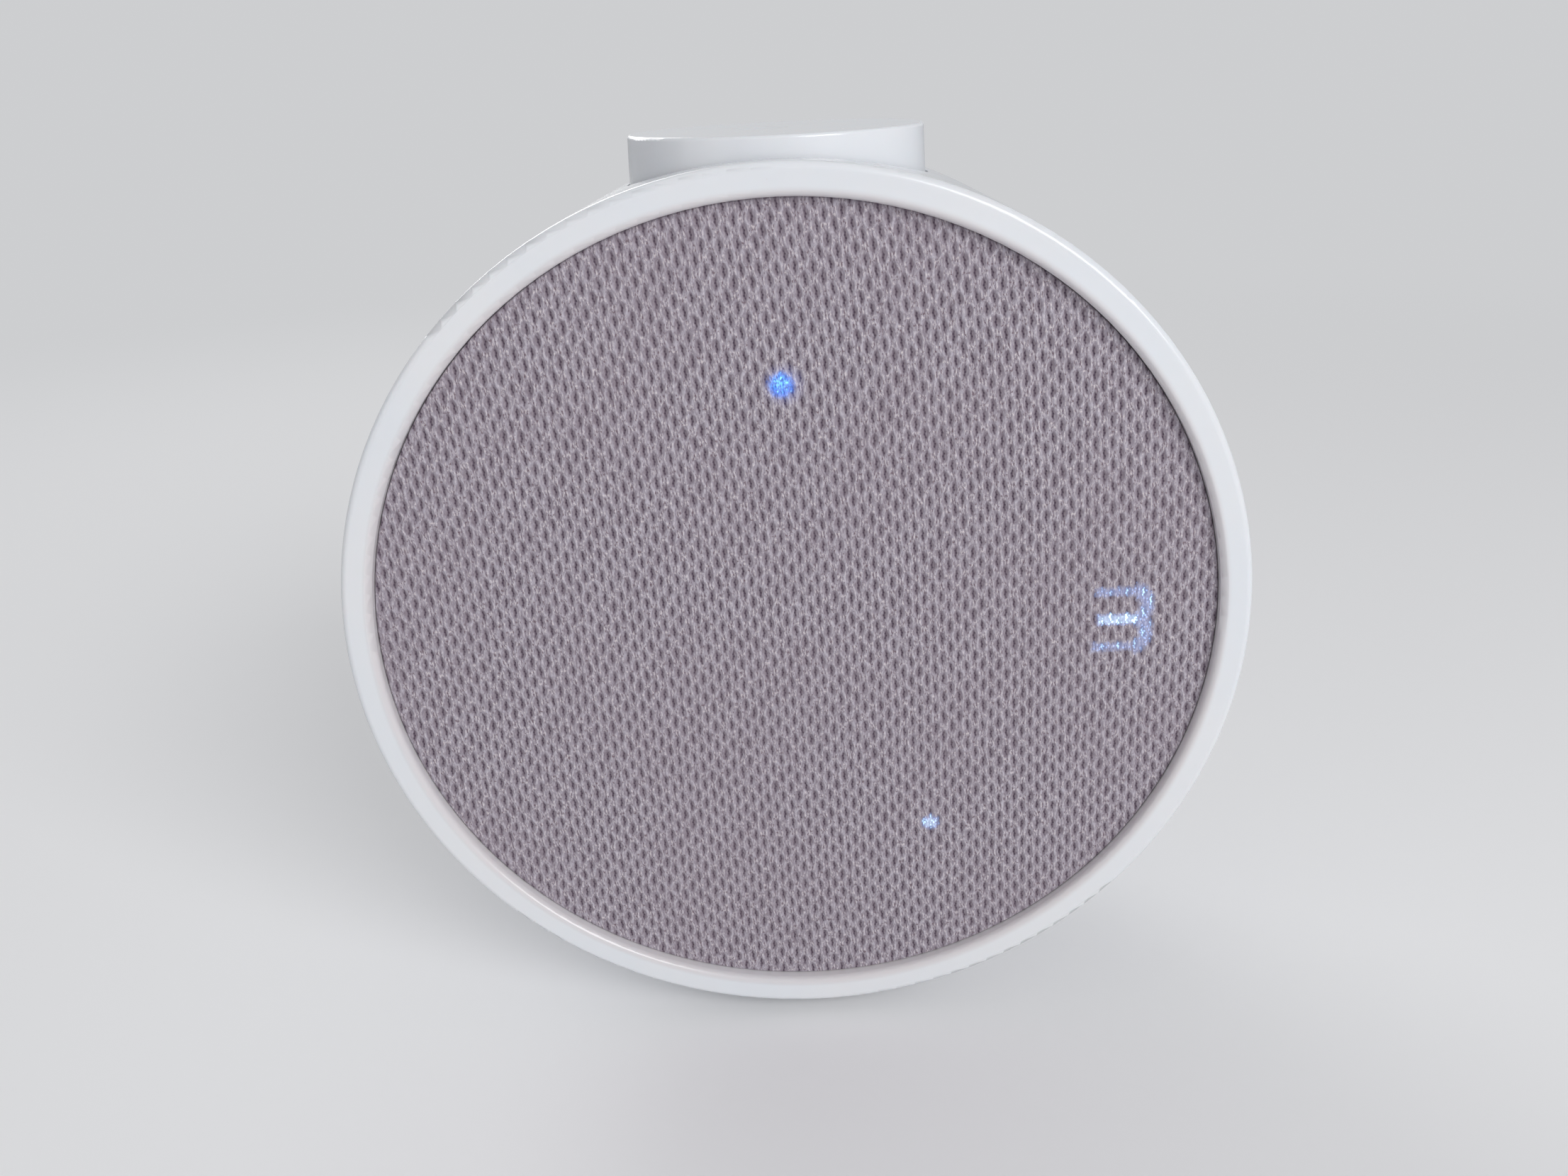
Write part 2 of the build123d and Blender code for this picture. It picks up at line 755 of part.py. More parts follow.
with BuildPart() as baffle:
    with BuildSketch(across(baffle_y)):
        Circle(baffle_radius)
        Circle(basket_mouth_radius + driver_hole_clearance, mode=Mode.SUBTRACT)
        with Locations(*[on_circle(baffle_screw_circle, a) for a in quarter_angles]):
            Circle(screw_shank_radius + screw_clearance, mode=Mode.SUBTRACT)
        with Locations(*dial_screw_places):
            Circle(small_shank_radius + pilot_clearance, mode=Mode.SUBTRACT)
        with Locations(*[on_circle(driver_screw_circle, a) for a in quarter_angles]):
            Circle(small_shank_radius + pilot_clearance, mode=Mode.SUBTRACT)
    extrude(amount=-baffle_thickness)
    with BuildSketch(*chamber_screw_seats):
        Circle(small_shank_radius + pilot_clearance)
    extrude(amount=-chamber_screw_length, mode=Mode.SUBTRACT)
    # room for the pressed crown above and for the foot's pad below
    with BuildSketch(level(skirt_bottom - 2 * crown_travel, 0, crown_y)):
        Circle(crown_hole_radius + 2 * notch_margin)
    extrude(amount=crown_skirt, mode=Mode.SUBTRACT)
    pad_room = foot_outline(0, foot_seat_wall + 2 * foot_seat_clearance)
    extrude(pad_room, amount=foot_pad_top + board_edge_clearance, mode=Mode.SUBTRACT)
save(baffle, "baffle")

baffle_screws = screw_group(baffle_screw_seats, baffle_screw_length)
save(baffle_screws, "baffle_screws")

# ---------------------------------------------------------------- loudspeaker

basket_base_y = basket_back_y - basket_base_thickness
basket_slope = (basket_mouth_radius - basket_base_radius) / basket_length


def basket_outside(y):
    """Outside radius of the basket's cone at depth y."""
    return basket_mouth_radius - (y - baffle_y) * basket_slope


basket_half = ring_section(
    (flange_y, flange_inner_radius),
    (flange_y, flange_radius),
    (baffle_y, flange_radius),
    (baffle_y, basket_mouth_radius),
    (basket_back_y, basket_base_radius),
    (basket_back_y, basket_bore),
    (basket_base_y, basket_bore),
    (basket_base_y, spider_step_radius),
    (spider_y, spider_step_radius),
    (spider_y, basket_outside(spider_y) - basket_wall),
    (baffle_y, flange_inner_radius),
)
with BuildPart() as driver_frame:
    revolve(basket_half, axis=drum_axis)
    window_length = spider_y - baffle_y - 2 * basket_wall
    with Locations(across(baffle_y + basket_wall + window_length / 2).location):
        with PolarLocations(basket_mouth_radius, 4, start_angle=45):
            Box(basket_mouth_radius, basket_window_width, window_length, mode=Mode.SUBTRACT)
    with BuildSketch(*driver_screw_seats):
        Circle(small_shank_radius + screw_clearance)
    extrude(amount=-flange_thickness, mode=Mode.SUBTRACT)
save(driver_frame, "driver_frame")

driver_screws = screw_group(driver_screw_seats, driver_screw_length, small=True)
save(driver_screws, "driver_screws")

# the surround's roll: half a turn of flats, the inner face one thickness smaller
roll_turns = [radians(180 * step / surround_facets) for step in range(surround_facets + 1)]
roll_outside = [
    (surround_y - surround_roll_height * sin(turn), surround_roll_radius - surround_roll_half_width * cos(turn))
    for turn in roll_turns
]
roll_inner_width = surround_roll_half_width - surround_thickness
roll_inside = [
    (flange_y - surround_roll_height * sin(turn), surround_roll_radius + roll_inner_width * cos(turn))
    for turn in roll_turns
]
surround_half = ring_section(
    (surround_y, cone_rim_inner),
    *roll_outside,
    (surround_y, surround_land_radius),
    (flange_y, surround_land_radius),
    *roll_inside,
    (flange_y, cone_rim_inner),
)
with BuildPart() as surround:
    revolve(surround_half, axis=drum_axis)
save(surround, "surround")

gasket_half = ring_section(
    (surround_y - gasket_thickness, gasket_inner_radius),
    (surround_y - gasket_thickness, surround_land_radius),
    (surround_y, surround_land_radius),
    (surround_y, gasket_inner_radius),
)
with BuildPart() as driver_gasket:
    revolve(gasket_half, axis=drum_axis)
save(driver_gasket, "driver_gasket")

cone_bore = coil_former_radius + former_clearance
cone_half = ring_section(
    (flange_y, cone_rim_radius),
    (flange_y, cone_rim_inner),
    (cone_neck_y - cone_thickness, cone_bore),
    (cone_neck_y, cone_bore),
    (flange_y + cone_thickness, cone_rim_inner + cone_thickness / 2),
    (flange_y + cone_thickness, cone_rim_radius),
)
with BuildPart() as cone:
    revolve(cone_half, axis=drum_axis)
save(cone, "cone")

# the dust cap is a dome whose rim is bevelled to the cone it sits on
cone_front_slope = (cone_neck_y - cone_thickness - flange_y) / (cone_rim_inner - cone_bore)
cap_rim_y = flange_y + (cone_rim_inner - dust_cap_radius) * cone_front_slope - former_clearance
cap_inner_rim_y = cap_rim_y + dust_cap_thickness * cone_front_slope
with BuildPart() as dust_cap:
    with BuildSketch(drum_section_plane):
        with BuildLine():
            cap_inner = dust_cap_radius - dust_cap_thickness
            cap_top_y = cap_rim_y - dust_cap_height
            cap_hollow_y = cap_top_y + dust_cap_thickness
            dome_arc(cap_rim_y, dust_cap_radius, dust_cap_height)
            Line((cap_top_y, 0), (cap_hollow_y, 0))
            dome_arc(cap_inner_rim_y, cap_inner, cap_inner_rim_y - cap_hollow_y)
            Line((cap_inner_rim_y, cap_inner), (cap_rim_y, dust_cap_radius))
        make_face()
    revolve(axis=drum_axis)
save(dust_cap, "dust_cap")

coil_end_y = coil_y + coil_former_length
voice_coil_half = ring_section(
    (coil_y, coil_former_radius - coil_former_wall),
    (coil_y, coil_former_radius),
    (coil_end_y - winding_length, coil_former_radius),
    (coil_end_y - winding_length, coil_former_radius + winding_thickness),
    (coil_end_y, coil_former_radius + winding_thickness),
    (coil_end_y, coil_former_radius - coil_former_wall),
)
with BuildPart() as voice_coil:
    revolve(voice_coil_half, axis=drum_axis)
save(voice_coil, "voice_coil")

# the spider's folds, from its land in to the voice coil, and back along its front face
fold_pitch = (spider_land_inner - cone_bore) / spider_rolls
folds = [(0, spider_land_inner)]
for roll in range(spider_rolls):
    swing = spider_roll_height if roll % 2 else -spider_roll_height
    folds.append((swing, spider_land_inner - (roll + 0.5) * fold_pitch))
folds.append((0, cone_bore))
spider_half = ring_section(
    (spider_y, spider_outer_radius),
    *[(spider_y + rise, radius) for rise, radius in folds],
    *[(spider_y - spider_thickness + rise, radius) for rise, radius in reversed(folds)],
    (spider_y - spider_thickness, spider_outer_radius),
)
with BuildPart() as spider:
    revolve(spider_half, axis=drum_axis)
save(spider, "spider")

top_plate_half = ring_section(
    (basket_back_y, magnet_gap_radius),
    (basket_back_y, top_plate_radius),
    (top_plate_back_y, top_plate_radius),
    (top_plate_back_y, magnet_gap_radius),
)
with BuildPart() as top_plate:
    revolve(top_plate_half, axis=drum_axis)
save(top_plate, "top_plate")

magnet_half = ring_section(
    (top_plate_back_y, magnet_bore),
    (top_plate_back_y, magnet_radius),
    (magnet_back_y, magnet_radius),
    (magnet_back_y, magnet_bore),
)
with BuildPart() as magnet:
    revolve(magnet_half, axis=drum_axis)
save(magnet, "magnet")

yoke_half = ring_section(
    (basket_back_y, 0),
    (basket_back_y, pole_radius),
    (magnet_back_y, pole_radius),
    (magnet_back_y, yoke_radius),
    (yoke_back_y, yoke_radius),
    (yoke_back_y, 0),
)
with BuildPart() as yoke:
    revolve(yoke_half, axis=drum_axis)
save(yoke, "yoke")

with BuildPart() as terminal_strip:
    strip_rise = -basket_base_radius + strip_overlap - strip_length / 2
    with BuildSketch(across(basket_back_y, 0, strip_rise)):
        RectangleRounded(strip_width, strip_length, small_shank_radius)
    extrude(amount=-strip_thickness)
    with BuildSketch(across(basket_back_y + strip_thickness, 0, strip_rise - strip_length / 2)):
        with Locations((-lug_spacing / 2, 0), (lug_spacing / 2, 0)):
            Rectangle(lug_width, lug_length)
    extrude(amount=-lug_thickness)
save(terminal_strip, "terminal_strip")

# ---------------------------------------------------------------- sealed box

with BuildPart() as speaker_chamber:
    with BuildSketch(across(baffle_back_y)):
        Circle(chamber_radius)
    extrude(amount=-chamber_length)
    fillet(speaker_chamber.faces().sort_by(Axis.Y)[-1].edges(), chamber_edge_radius)
    with BuildSketch(across(baffle_back_y)):
        Circle(chamber_radius + chamber_flange_width)
    extrude(amount=-chamber_flange_thickness)
    with BuildSketch(across(baffle_back_y)):
        Circle(chamber_radius - chamber_wall)
    extrude(amount=-chamber_length + chamber_wall, mode=Mode.SUBTRACT)
    with BuildSketch(*chamber_screw_seats):
        Circle(small_shank_radius + screw_clearance)
    extrude(amount=-chamber_flange_thickness, mode=Mode.SUBTRACT)
save(speaker_chamber, "speaker_chamber")

chamber_screws = screw_group(chamber_screw_seats, chamber_screw_length, small=True)
save(chamber_screws, "chamber_screws")

# ---------------------------------------------------------------- crown

with BuildPart() as crown:
    with BuildSketch(crown_section_plane) as crown_half:
        with BuildLine():
            Polyline(
                (0, crown_top),
                (crown_top_radius, crown_top),
                (crown_radius, skirt_bottom),
                (crown_radius - crown_wall, skirt_bottom),
                (crown_radius - crown_wall, crown_ceiling),
                (crown_post_radius, crown_ceiling),
                (crown_post_radius, post_bottom),
                (0, post_bottom),
                close=True,
            )
        make_face()
        outer_corner = crown_half.vertices().group_by(Axis.Y)[-1].sort_by(Axis.X)[-1]
        fillet(outer_corner, crown_edge_round)
    revolve(axis=crown_axis)
    # shallow dish for a fingertip
    dimple_sphere = (dimple_radius**2 + dimple_depth**2) / (2 * dimple_depth)
    with Locations((dimple_place, crown_y, crown_top - dimple_depth + dimple_sphere)):
        Sphere(dimple_sphere, mode=Mode.SUBTRACT)
    # two legs whose hooks hold the crown down against its spring
    hook_top = collar_bottom - crown_hook_gap
    hook_bottom = hook_top - crown_hook_height
    leg_inner = crown_leg_place - crown_leg_thickness / 2
    leg_outer = crown_leg_place + crown_leg_thickness / 2
    for side in (-1, 1):
        with BuildSketch(crown_section_plane):
            with BuildLine():
                Polyline(
                    (side * leg_inner, crown_ceiling),
                    (side * leg_outer, crown_ceiling),
                    (side * leg_outer, hook_top),
                    (side * (leg_outer + crown_hook_reach), hook_top),
                    (side * leg_outer, hook_bottom),
                    (side * leg_inner, hook_bottom),
                    close=True,
                )
            make_face()
        extrude(amount=crown_leg_width / 2, both=True)
save(crown, "crown")

with BuildPart() as crown_collar:
    with BuildSketch(level(collar_bottom, 0, crown_y)):
        Circle(well_radius)
        with Locations((-ear_place, 0), (ear_place, 0)):
            Circle(ear_radius)
        with Locations((0, collar_front_y - crown_y - well_radius)):
            Rectangle(4 * well_radius, 2 * well_radius, mode=Mode.SUBTRACT)
    extrude(amount=collar_thickness)
    with BuildSketch(level(collar_top, 0, crown_y)):
        Circle(crown_post_radius + crown_post_clearance + guide_wall)
    extrude(amount=guide_height)
    with BuildSketch(level(switch_board_top, 0, crown_y)):
        with Locations((-switch_post_place, 0), (switch_post_place, 0)):
            Circle(switch_post_radius)
    extrude(amount=collar_bottom - switch_board_top)
    # bore for the crown's post and slots for its legs
    with BuildSketch(level(collar_bottom, 0, crown_y)):
        Circle(crown_post_radius + crown_post_clearance)
        slot_length = crown_leg_thickness + crown_hook_reach + 2 * slot_clearance
        slot_place = leg_inner - slot_clearance + slot_length / 2
        with Locations((-slot_place, 0), (slot_place, 0)):
            Rectangle(slot_length, crown_leg_width + 2 * slot_clearance)
    extrude(amount=collar_thickness + guide_height, mode=Mode.SUBTRACT)
    with BuildSketch(*collar_screw_seats):
        Circle(small_shank_radius + screw_clearance)
    extrude(amount=-collar_thickness, mode=Mode.SUBTRACT)
    with BuildSketch(*switch_screw_seats):
        Circle(small_shank_radius + pilot_clearance)
    extrude(amount=-switch_screw_length, mode=Mode.SUBTRACT)
save(crown_collar, "crown_collar")

collar_screws = screw_group(collar_screw_seats, collar_screw_length, small=True)
save(collar_screws, "collar_screws")

with BuildPart() as crown_spring:
    spring_low = collar_top + spring_wire / 2 + spring_end_gap
    spring_rise = crown_ceiling - spring_wire / 2 - spring_end_gap - spring_low
    with BuildLine() as coil_line:
        Helix(spring_rise / spring_turns, spring_rise, spring_radius, center=(0, crown_y, spring_low))
    with BuildSketch(Plane(origin=coil_line.wire() @ 0, z_dir=coil_line.wire() % 0)):
        RegularPolygon(spring_wire / 2, 6)
    sweep(path=coil_line.wire(), is_frenet=True)
save(crown_spring, "crown_spring")

with BuildPart() as switch_board:
    with BuildSketch(level(switch_board_top - switch_board_thickness, 0, crown_y)):
        RectangleRounded(switch_board_width, switch_board_length, main_board_corner)
        with Locations((-switch_post_place, 0), (switch_post_place, 0)):
            Circle(small_shank_radius + screw_clearance, mode=Mode.SUBTRACT)
    extrude(amount=switch_board_thickness)
save(switch_board, "switch_board")

switch_screws = screw_group(switch_screw_seats, switch_screw_length, small=True)
save(switch_screws, "switch_screws")

with BuildPart() as tact_switch:
    with BuildSketch(level(switch_board_top, 0, crown_y)):
        RectangleRounded(switch_size, switch_size, board_edge_clearance)
    extrude(amount=switch_height)
    with BuildSketch(level(switch_top - crown_travel - switch_gap, 0, crown_y)):
        Circle(switch_stem_radius + switch_stem_clearance)
    extrude(amount=crown_travel + switch_gap, mode=Mode.SUBTRACT)
save(tact_switch, "tact_switch")

with BuildPart() as switch_stem:
    with BuildSketch(level(switch_top, 0, crown_y)):
        Circle(switch_stem_radius)
    extrude(amount=switch_stem_rise)
save(switch_stem, "switch_stem")

# ---------------------------------------------------------------- main board

with BuildPart() as main_board:
    with BuildSketch(across(main_board_y, 0, main_board_rise)):
        RectangleRounded(main_board_width, main_board_height, main_board_corner)
    extrude(amount=-main_board_thickness)
    with BuildSketch(*main_screw_seats):
        Circle(small_shank_radius + screw_clearance)
    extrude(amount=-main_board_thickness, mode=Mode.SUBTRACT)
save(main_board, "main_board")

main_board_screws = screw_group(main_screw_seats, main_screw_length, small=True)
save(main_board_screws, "main_board_screws")

# parts soldered to the board's back, as shares of the board's height and width and of the room behind it:
# name, width, height, thickness, place to the right and place up
board_parts = [
    ("radio_shield", 0.5, 0.4, 0.29, 0.225, 0.275),
    ("processor_chip", 0.3, 0.3, 0.16, -0.1, 0.3),
    ("amplifier_chip", 0.175, 0.175, 0.13, -0.225, -0.1),
    ("power_coil", 0.1625, 0.1625, 0.43, -0.065, -0.1),
]
for name, width, height, thickness, place, rise in board_parts:
    with BuildPart() as board_part:
        with BuildSketch(across(main_board_back_y, place * main_board_width, rise * main_board_height)):
            RectangleRounded(width * main_board_height, height * main_board_height, board_part_round)
        extrude(amount=-thickness * board_room)
    save(board_part, name)

with BuildPart() as capacitors:
    with BuildSketch(across(main_board_back_y, main_board_width / 4, main_board_rise - main_board_height / 4)):
        with GridLocations(capacitor_pitch, capacitor_pitch, 3, 1):
            Circle(capacitor_radius)
    extrude(amount=-capacitor_share * board_room)
save(capacitors, "capacitors")

# ---------------------------------------------------------------- power socket

with BuildPart() as socket_board:
    with BuildSketch(level(shelf_top, 0, socket_board_y - socket_board_length / 2)):
        Rectangle(socket_board_width, socket_board_length)
    extrude(amount=socket_board_thickness)
    with BuildSketch(*socket_screw_seats):
        Circle(small_shank_radius + screw_clearance)
    extrude(amount=-socket_board_thickness, mode=Mode.SUBTRACT)
save(socket_board, "socket_board")

socket_board_screws = screw_group(socket_screw_seats, socket_screw_length, small=True)
save(socket_board_screws, "socket_board_screws")

with BuildPart() as power_socket:
    with BuildSketch(across(socket_y, 0, -socket_drop)):
        RectangleRounded(socket_width, socket_height, socket_height / 3)
    extrude(amount=socket_length)
    with BuildSketch(across(socket_y, 0, -socket_drop)):
        RectangleRounded(socket_width - 2 * socket_shell, socket_height - 2 * socket_shell, socket_height / 4)
        with Locations((0, socket_tongue / 2)):
            Rectangle(socket_width / 2, socket_tongue, mode=Mode.SUBTRACT)
    extrude(amount=socket_length - 1, mode=Mode.SUBTRACT)
save(power_socket, "power_socket")

# ---------------------------------------------------------------- foot

with BuildPart() as foot_plate:
    # the rim rises to the drum's skin all round, and the middle to its flat seat
    extrude(foot_outline(foot_bottom), amount=foot_pad_top - foot_bottom)
    add(drum_body.part, mode=Mode.SUBTRACT)
    extrude(foot_outline(foot_bottom), amount=foot_seat - foot_bottom)
    rubber_seat = foot_outline(foot_bottom, rubber_clearance - rubber_margin)
    extrude(rubber_seat, amount=rubber_thickness - foot_bottom, mode=Mode.SUBTRACT)
    with BuildSketch(*foot_screw_seats):
        Circle(screw_head_radius + screw_clearance)
    extrude(amount=foot_counterbore, mode=Mode.SUBTRACT)
    with BuildSketch(*foot_screw_seats):
        Circle(screw_shank_radius + screw_clearance)
    extrude(amount=-foot_seat, mode=Mode.SUBTRACT)
save(foot_plate, "foot_plate")

foot_screws = screw_group(foot_screw_seats, foot_screw_length)
save(foot_screws, "foot_screws")

with BuildPart() as rubber_foot:
    extrude(foot_outline(0, -rubber_margin), amount=rubber_thickness)
save(rubber_foot, "rubber_foot")
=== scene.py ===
import json
import logging
import math
from dataclasses import dataclass
from enum import Enum

import bmesh
import bpy
import numpy as np
from mathutils import Matrix, Vector


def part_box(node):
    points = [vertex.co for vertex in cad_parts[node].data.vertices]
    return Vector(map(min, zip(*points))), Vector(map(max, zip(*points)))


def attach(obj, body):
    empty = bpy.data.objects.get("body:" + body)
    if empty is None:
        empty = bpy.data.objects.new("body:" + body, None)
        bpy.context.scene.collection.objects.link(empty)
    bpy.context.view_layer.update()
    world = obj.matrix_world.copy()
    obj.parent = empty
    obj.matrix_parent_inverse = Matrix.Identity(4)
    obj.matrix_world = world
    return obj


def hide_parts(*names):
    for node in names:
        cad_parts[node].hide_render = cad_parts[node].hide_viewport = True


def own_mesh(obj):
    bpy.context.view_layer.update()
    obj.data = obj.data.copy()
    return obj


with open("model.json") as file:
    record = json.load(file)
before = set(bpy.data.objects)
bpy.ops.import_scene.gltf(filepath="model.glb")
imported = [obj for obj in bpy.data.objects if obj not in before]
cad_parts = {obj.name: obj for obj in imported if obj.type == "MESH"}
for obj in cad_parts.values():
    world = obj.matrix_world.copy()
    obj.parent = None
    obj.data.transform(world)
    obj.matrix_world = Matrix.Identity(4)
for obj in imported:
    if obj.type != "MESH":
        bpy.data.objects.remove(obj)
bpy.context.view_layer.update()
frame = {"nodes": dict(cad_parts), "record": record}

LOG = logging.getLogger("smart_speaker")
MM = 0.001
# most of a noise's values lie between these two
NOISE_LOW, NOISE_HIGH = 0.3, 0.7
Colour = tuple[float, float, float]


class Body(Enum):
    """Bodies that the scene's own pieces ride on."""

    HOUSING = "housing"


class Arithmetic(Enum):
    """Operations of the Math node that the finishes use."""

    ADD = "ADD"
    SUBTRACT = "SUBTRACT"
    MULTIPLY = "MULTIPLY"
    SINE = "SINE"
    SIZE = "ABSOLUTE"
    FLOOR = "FLOOR"
    LARGER = "MAXIMUM"
    SMALLER = "MINIMUM"
    ROOT = "SQRT"


@dataclass(frozen=True)
class Layout:
    """Places that the pieces share, in metres."""

    cloth_front: float
    cloth_back: float
    cloth_radius: float
    axis_z: float
    ring_radius: float
    joint: float
    opening_gap: float = 0.0002

    @classmethod
    def read(cls) -> "Layout":
        """Read the boxes of the cloth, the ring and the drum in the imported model.

        Returns:
            The places.
        """
        cloth_low, cloth_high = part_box("grille_fabric")
        ring_low, ring_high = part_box("front_bezel")
        drum_low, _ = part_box("drum_shell")
        return cls(
            cloth_front=cloth_low.y,
            cloth_back=cloth_high.y,
            cloth_radius=(cloth_high.x - cloth_low.x) / 2,
            axis_z=(cloth_high.z + cloth_low.z) / 2,
            ring_radius=(ring_high.x - ring_low.x) / 2,
            joint=drum_low.y,
        )

    @property
    def opening_radius(self) -> float:
        """Radius of the ring's opening."""
        return self.cloth_radius + self.opening_gap

    @property
    def middle(self) -> Vector:
        """Middle of the cloth's face."""
        return Vector((0.0, self.cloth_front, self.axis_z))


def add_piece(name: str, mesh: bmesh.types.BMesh, finish: bpy.types.Material) -> bpy.types.Object:
    """Turn a built mesh into a piece of the scene.

    Args:
        name: the piece's name.
        mesh: the built mesh, which is freed.
        finish: the piece's material.

    Returns:
        The piece.
    """
    data = bpy.data.meshes.new(name)
    mesh.to_mesh(data)
    mesh.free()
    data.materials.append(finish)
    piece = bpy.data.objects.new(name, data)
    bpy.context.scene.collection.objects.link(piece)
    return piece


# ---------------------------------------------------------------- shading


class Field:
    """One number in a node tree, with the arithmetic that shading formulas need."""

    def __init__(self, shader: "Shader", socket: bpy.types.NodeSocket) -> None:
        """Keep the shader and the socket that gives the number."""
        self.shader = shader
        self.socket = socket

    def _join(self, operation: Arithmetic, *terms: "Field | float") -> "Field":
        """Feed this number and others to a Math node.

        Args:
            operation: what the node does.
            terms: the other inputs, fields or plain numbers.

        Returns:
            The node's result.
        """
        node = self.shader.add("ShaderNodeMath")
        node.operation = operation.value
        for index, term in enumerate((self, *terms)):
            self.shader.feed(node.inputs[index], term)
        return Field(self.shader, node.outputs[0])

    def __add__(self, other: "Field | float") -> "Field":
        """Sum."""
        return self._join(Arithmetic.ADD, other)

    __radd__ = __add__

    def __sub__(self, other: "Field | float") -> "Field":
        """Difference."""
        return self._join(Arithmetic.SUBTRACT, other)

    def __rsub__(self, other: float) -> "Field":
        """Difference from a plain number."""
        return (self * -1.0) + other

    def __mul__(self, other: "Field | float") -> "Field":
        """Product."""
        return self._join(Arithmetic.MULTIPLY, other)

    __rmul__ = __mul__

    def sine(self) -> "Field":
        """Sine of the number in radians."""
        return self._join(Arithmetic.SINE)

    def size(self) -> "Field":
        """Absolute value."""
        return self._join(Arithmetic.SIZE)

    def whole(self) -> "Field":
        """Nearest whole number."""
        return (self + 0.5)._join(Arithmetic.FLOOR)

    def larger(self, other: "Field | float") -> "Field":
        """The larger of two numbers."""
        return self._join(Arithmetic.LARGER, other)

    def smaller(self, other: "Field | float") -> "Field":
        """The smaller of two numbers."""
        return self._join(Arithmetic.SMALLER, other)

    def root(self) -> "Field":
        """Square root."""
        return self._join(Arithmetic.ROOT)

    def ramp(self, low: float, high: float, bottom: float = 0.0, top: float = 1.0) -> "Field":
        """Smooth step from one value to another.

        Args:
            low: where the step starts.
            high: where the step ends.
            bottom: value before the step.
            top: value after the step.

        Returns:
            The stepped value.
        """
        node = self.shader.add("ShaderNodeMapRange")
        node.interpolation_type = "SMOOTHSTEP"
        turned = low > high
        node.inputs["From Min"].default_value = min(low, high)
        node.inputs["From Max"].default_value = max(low, high)
        node.inputs["To Min"].default_value = top if turned else bottom
        node.inputs["To Max"].default_value = bottom if turned else top
        self.shader.feed(node.inputs["Value"], self)
        return Field(self.shader, node.outputs["Result"])

    def about(self, middle: float, below: float = 0.08, above: float = 0.12, low: float = NOISE_LOW) -> "Field":
        """A noise spread over a range about a value, as roughness needs."""
        return self.ramp(low, NOISE_HIGH, middle - below, middle + above)


def distance(across: Field, up: Field) -> Field:
    """Distance from the origin of two fields."""
    return (across * across + up * up).root()


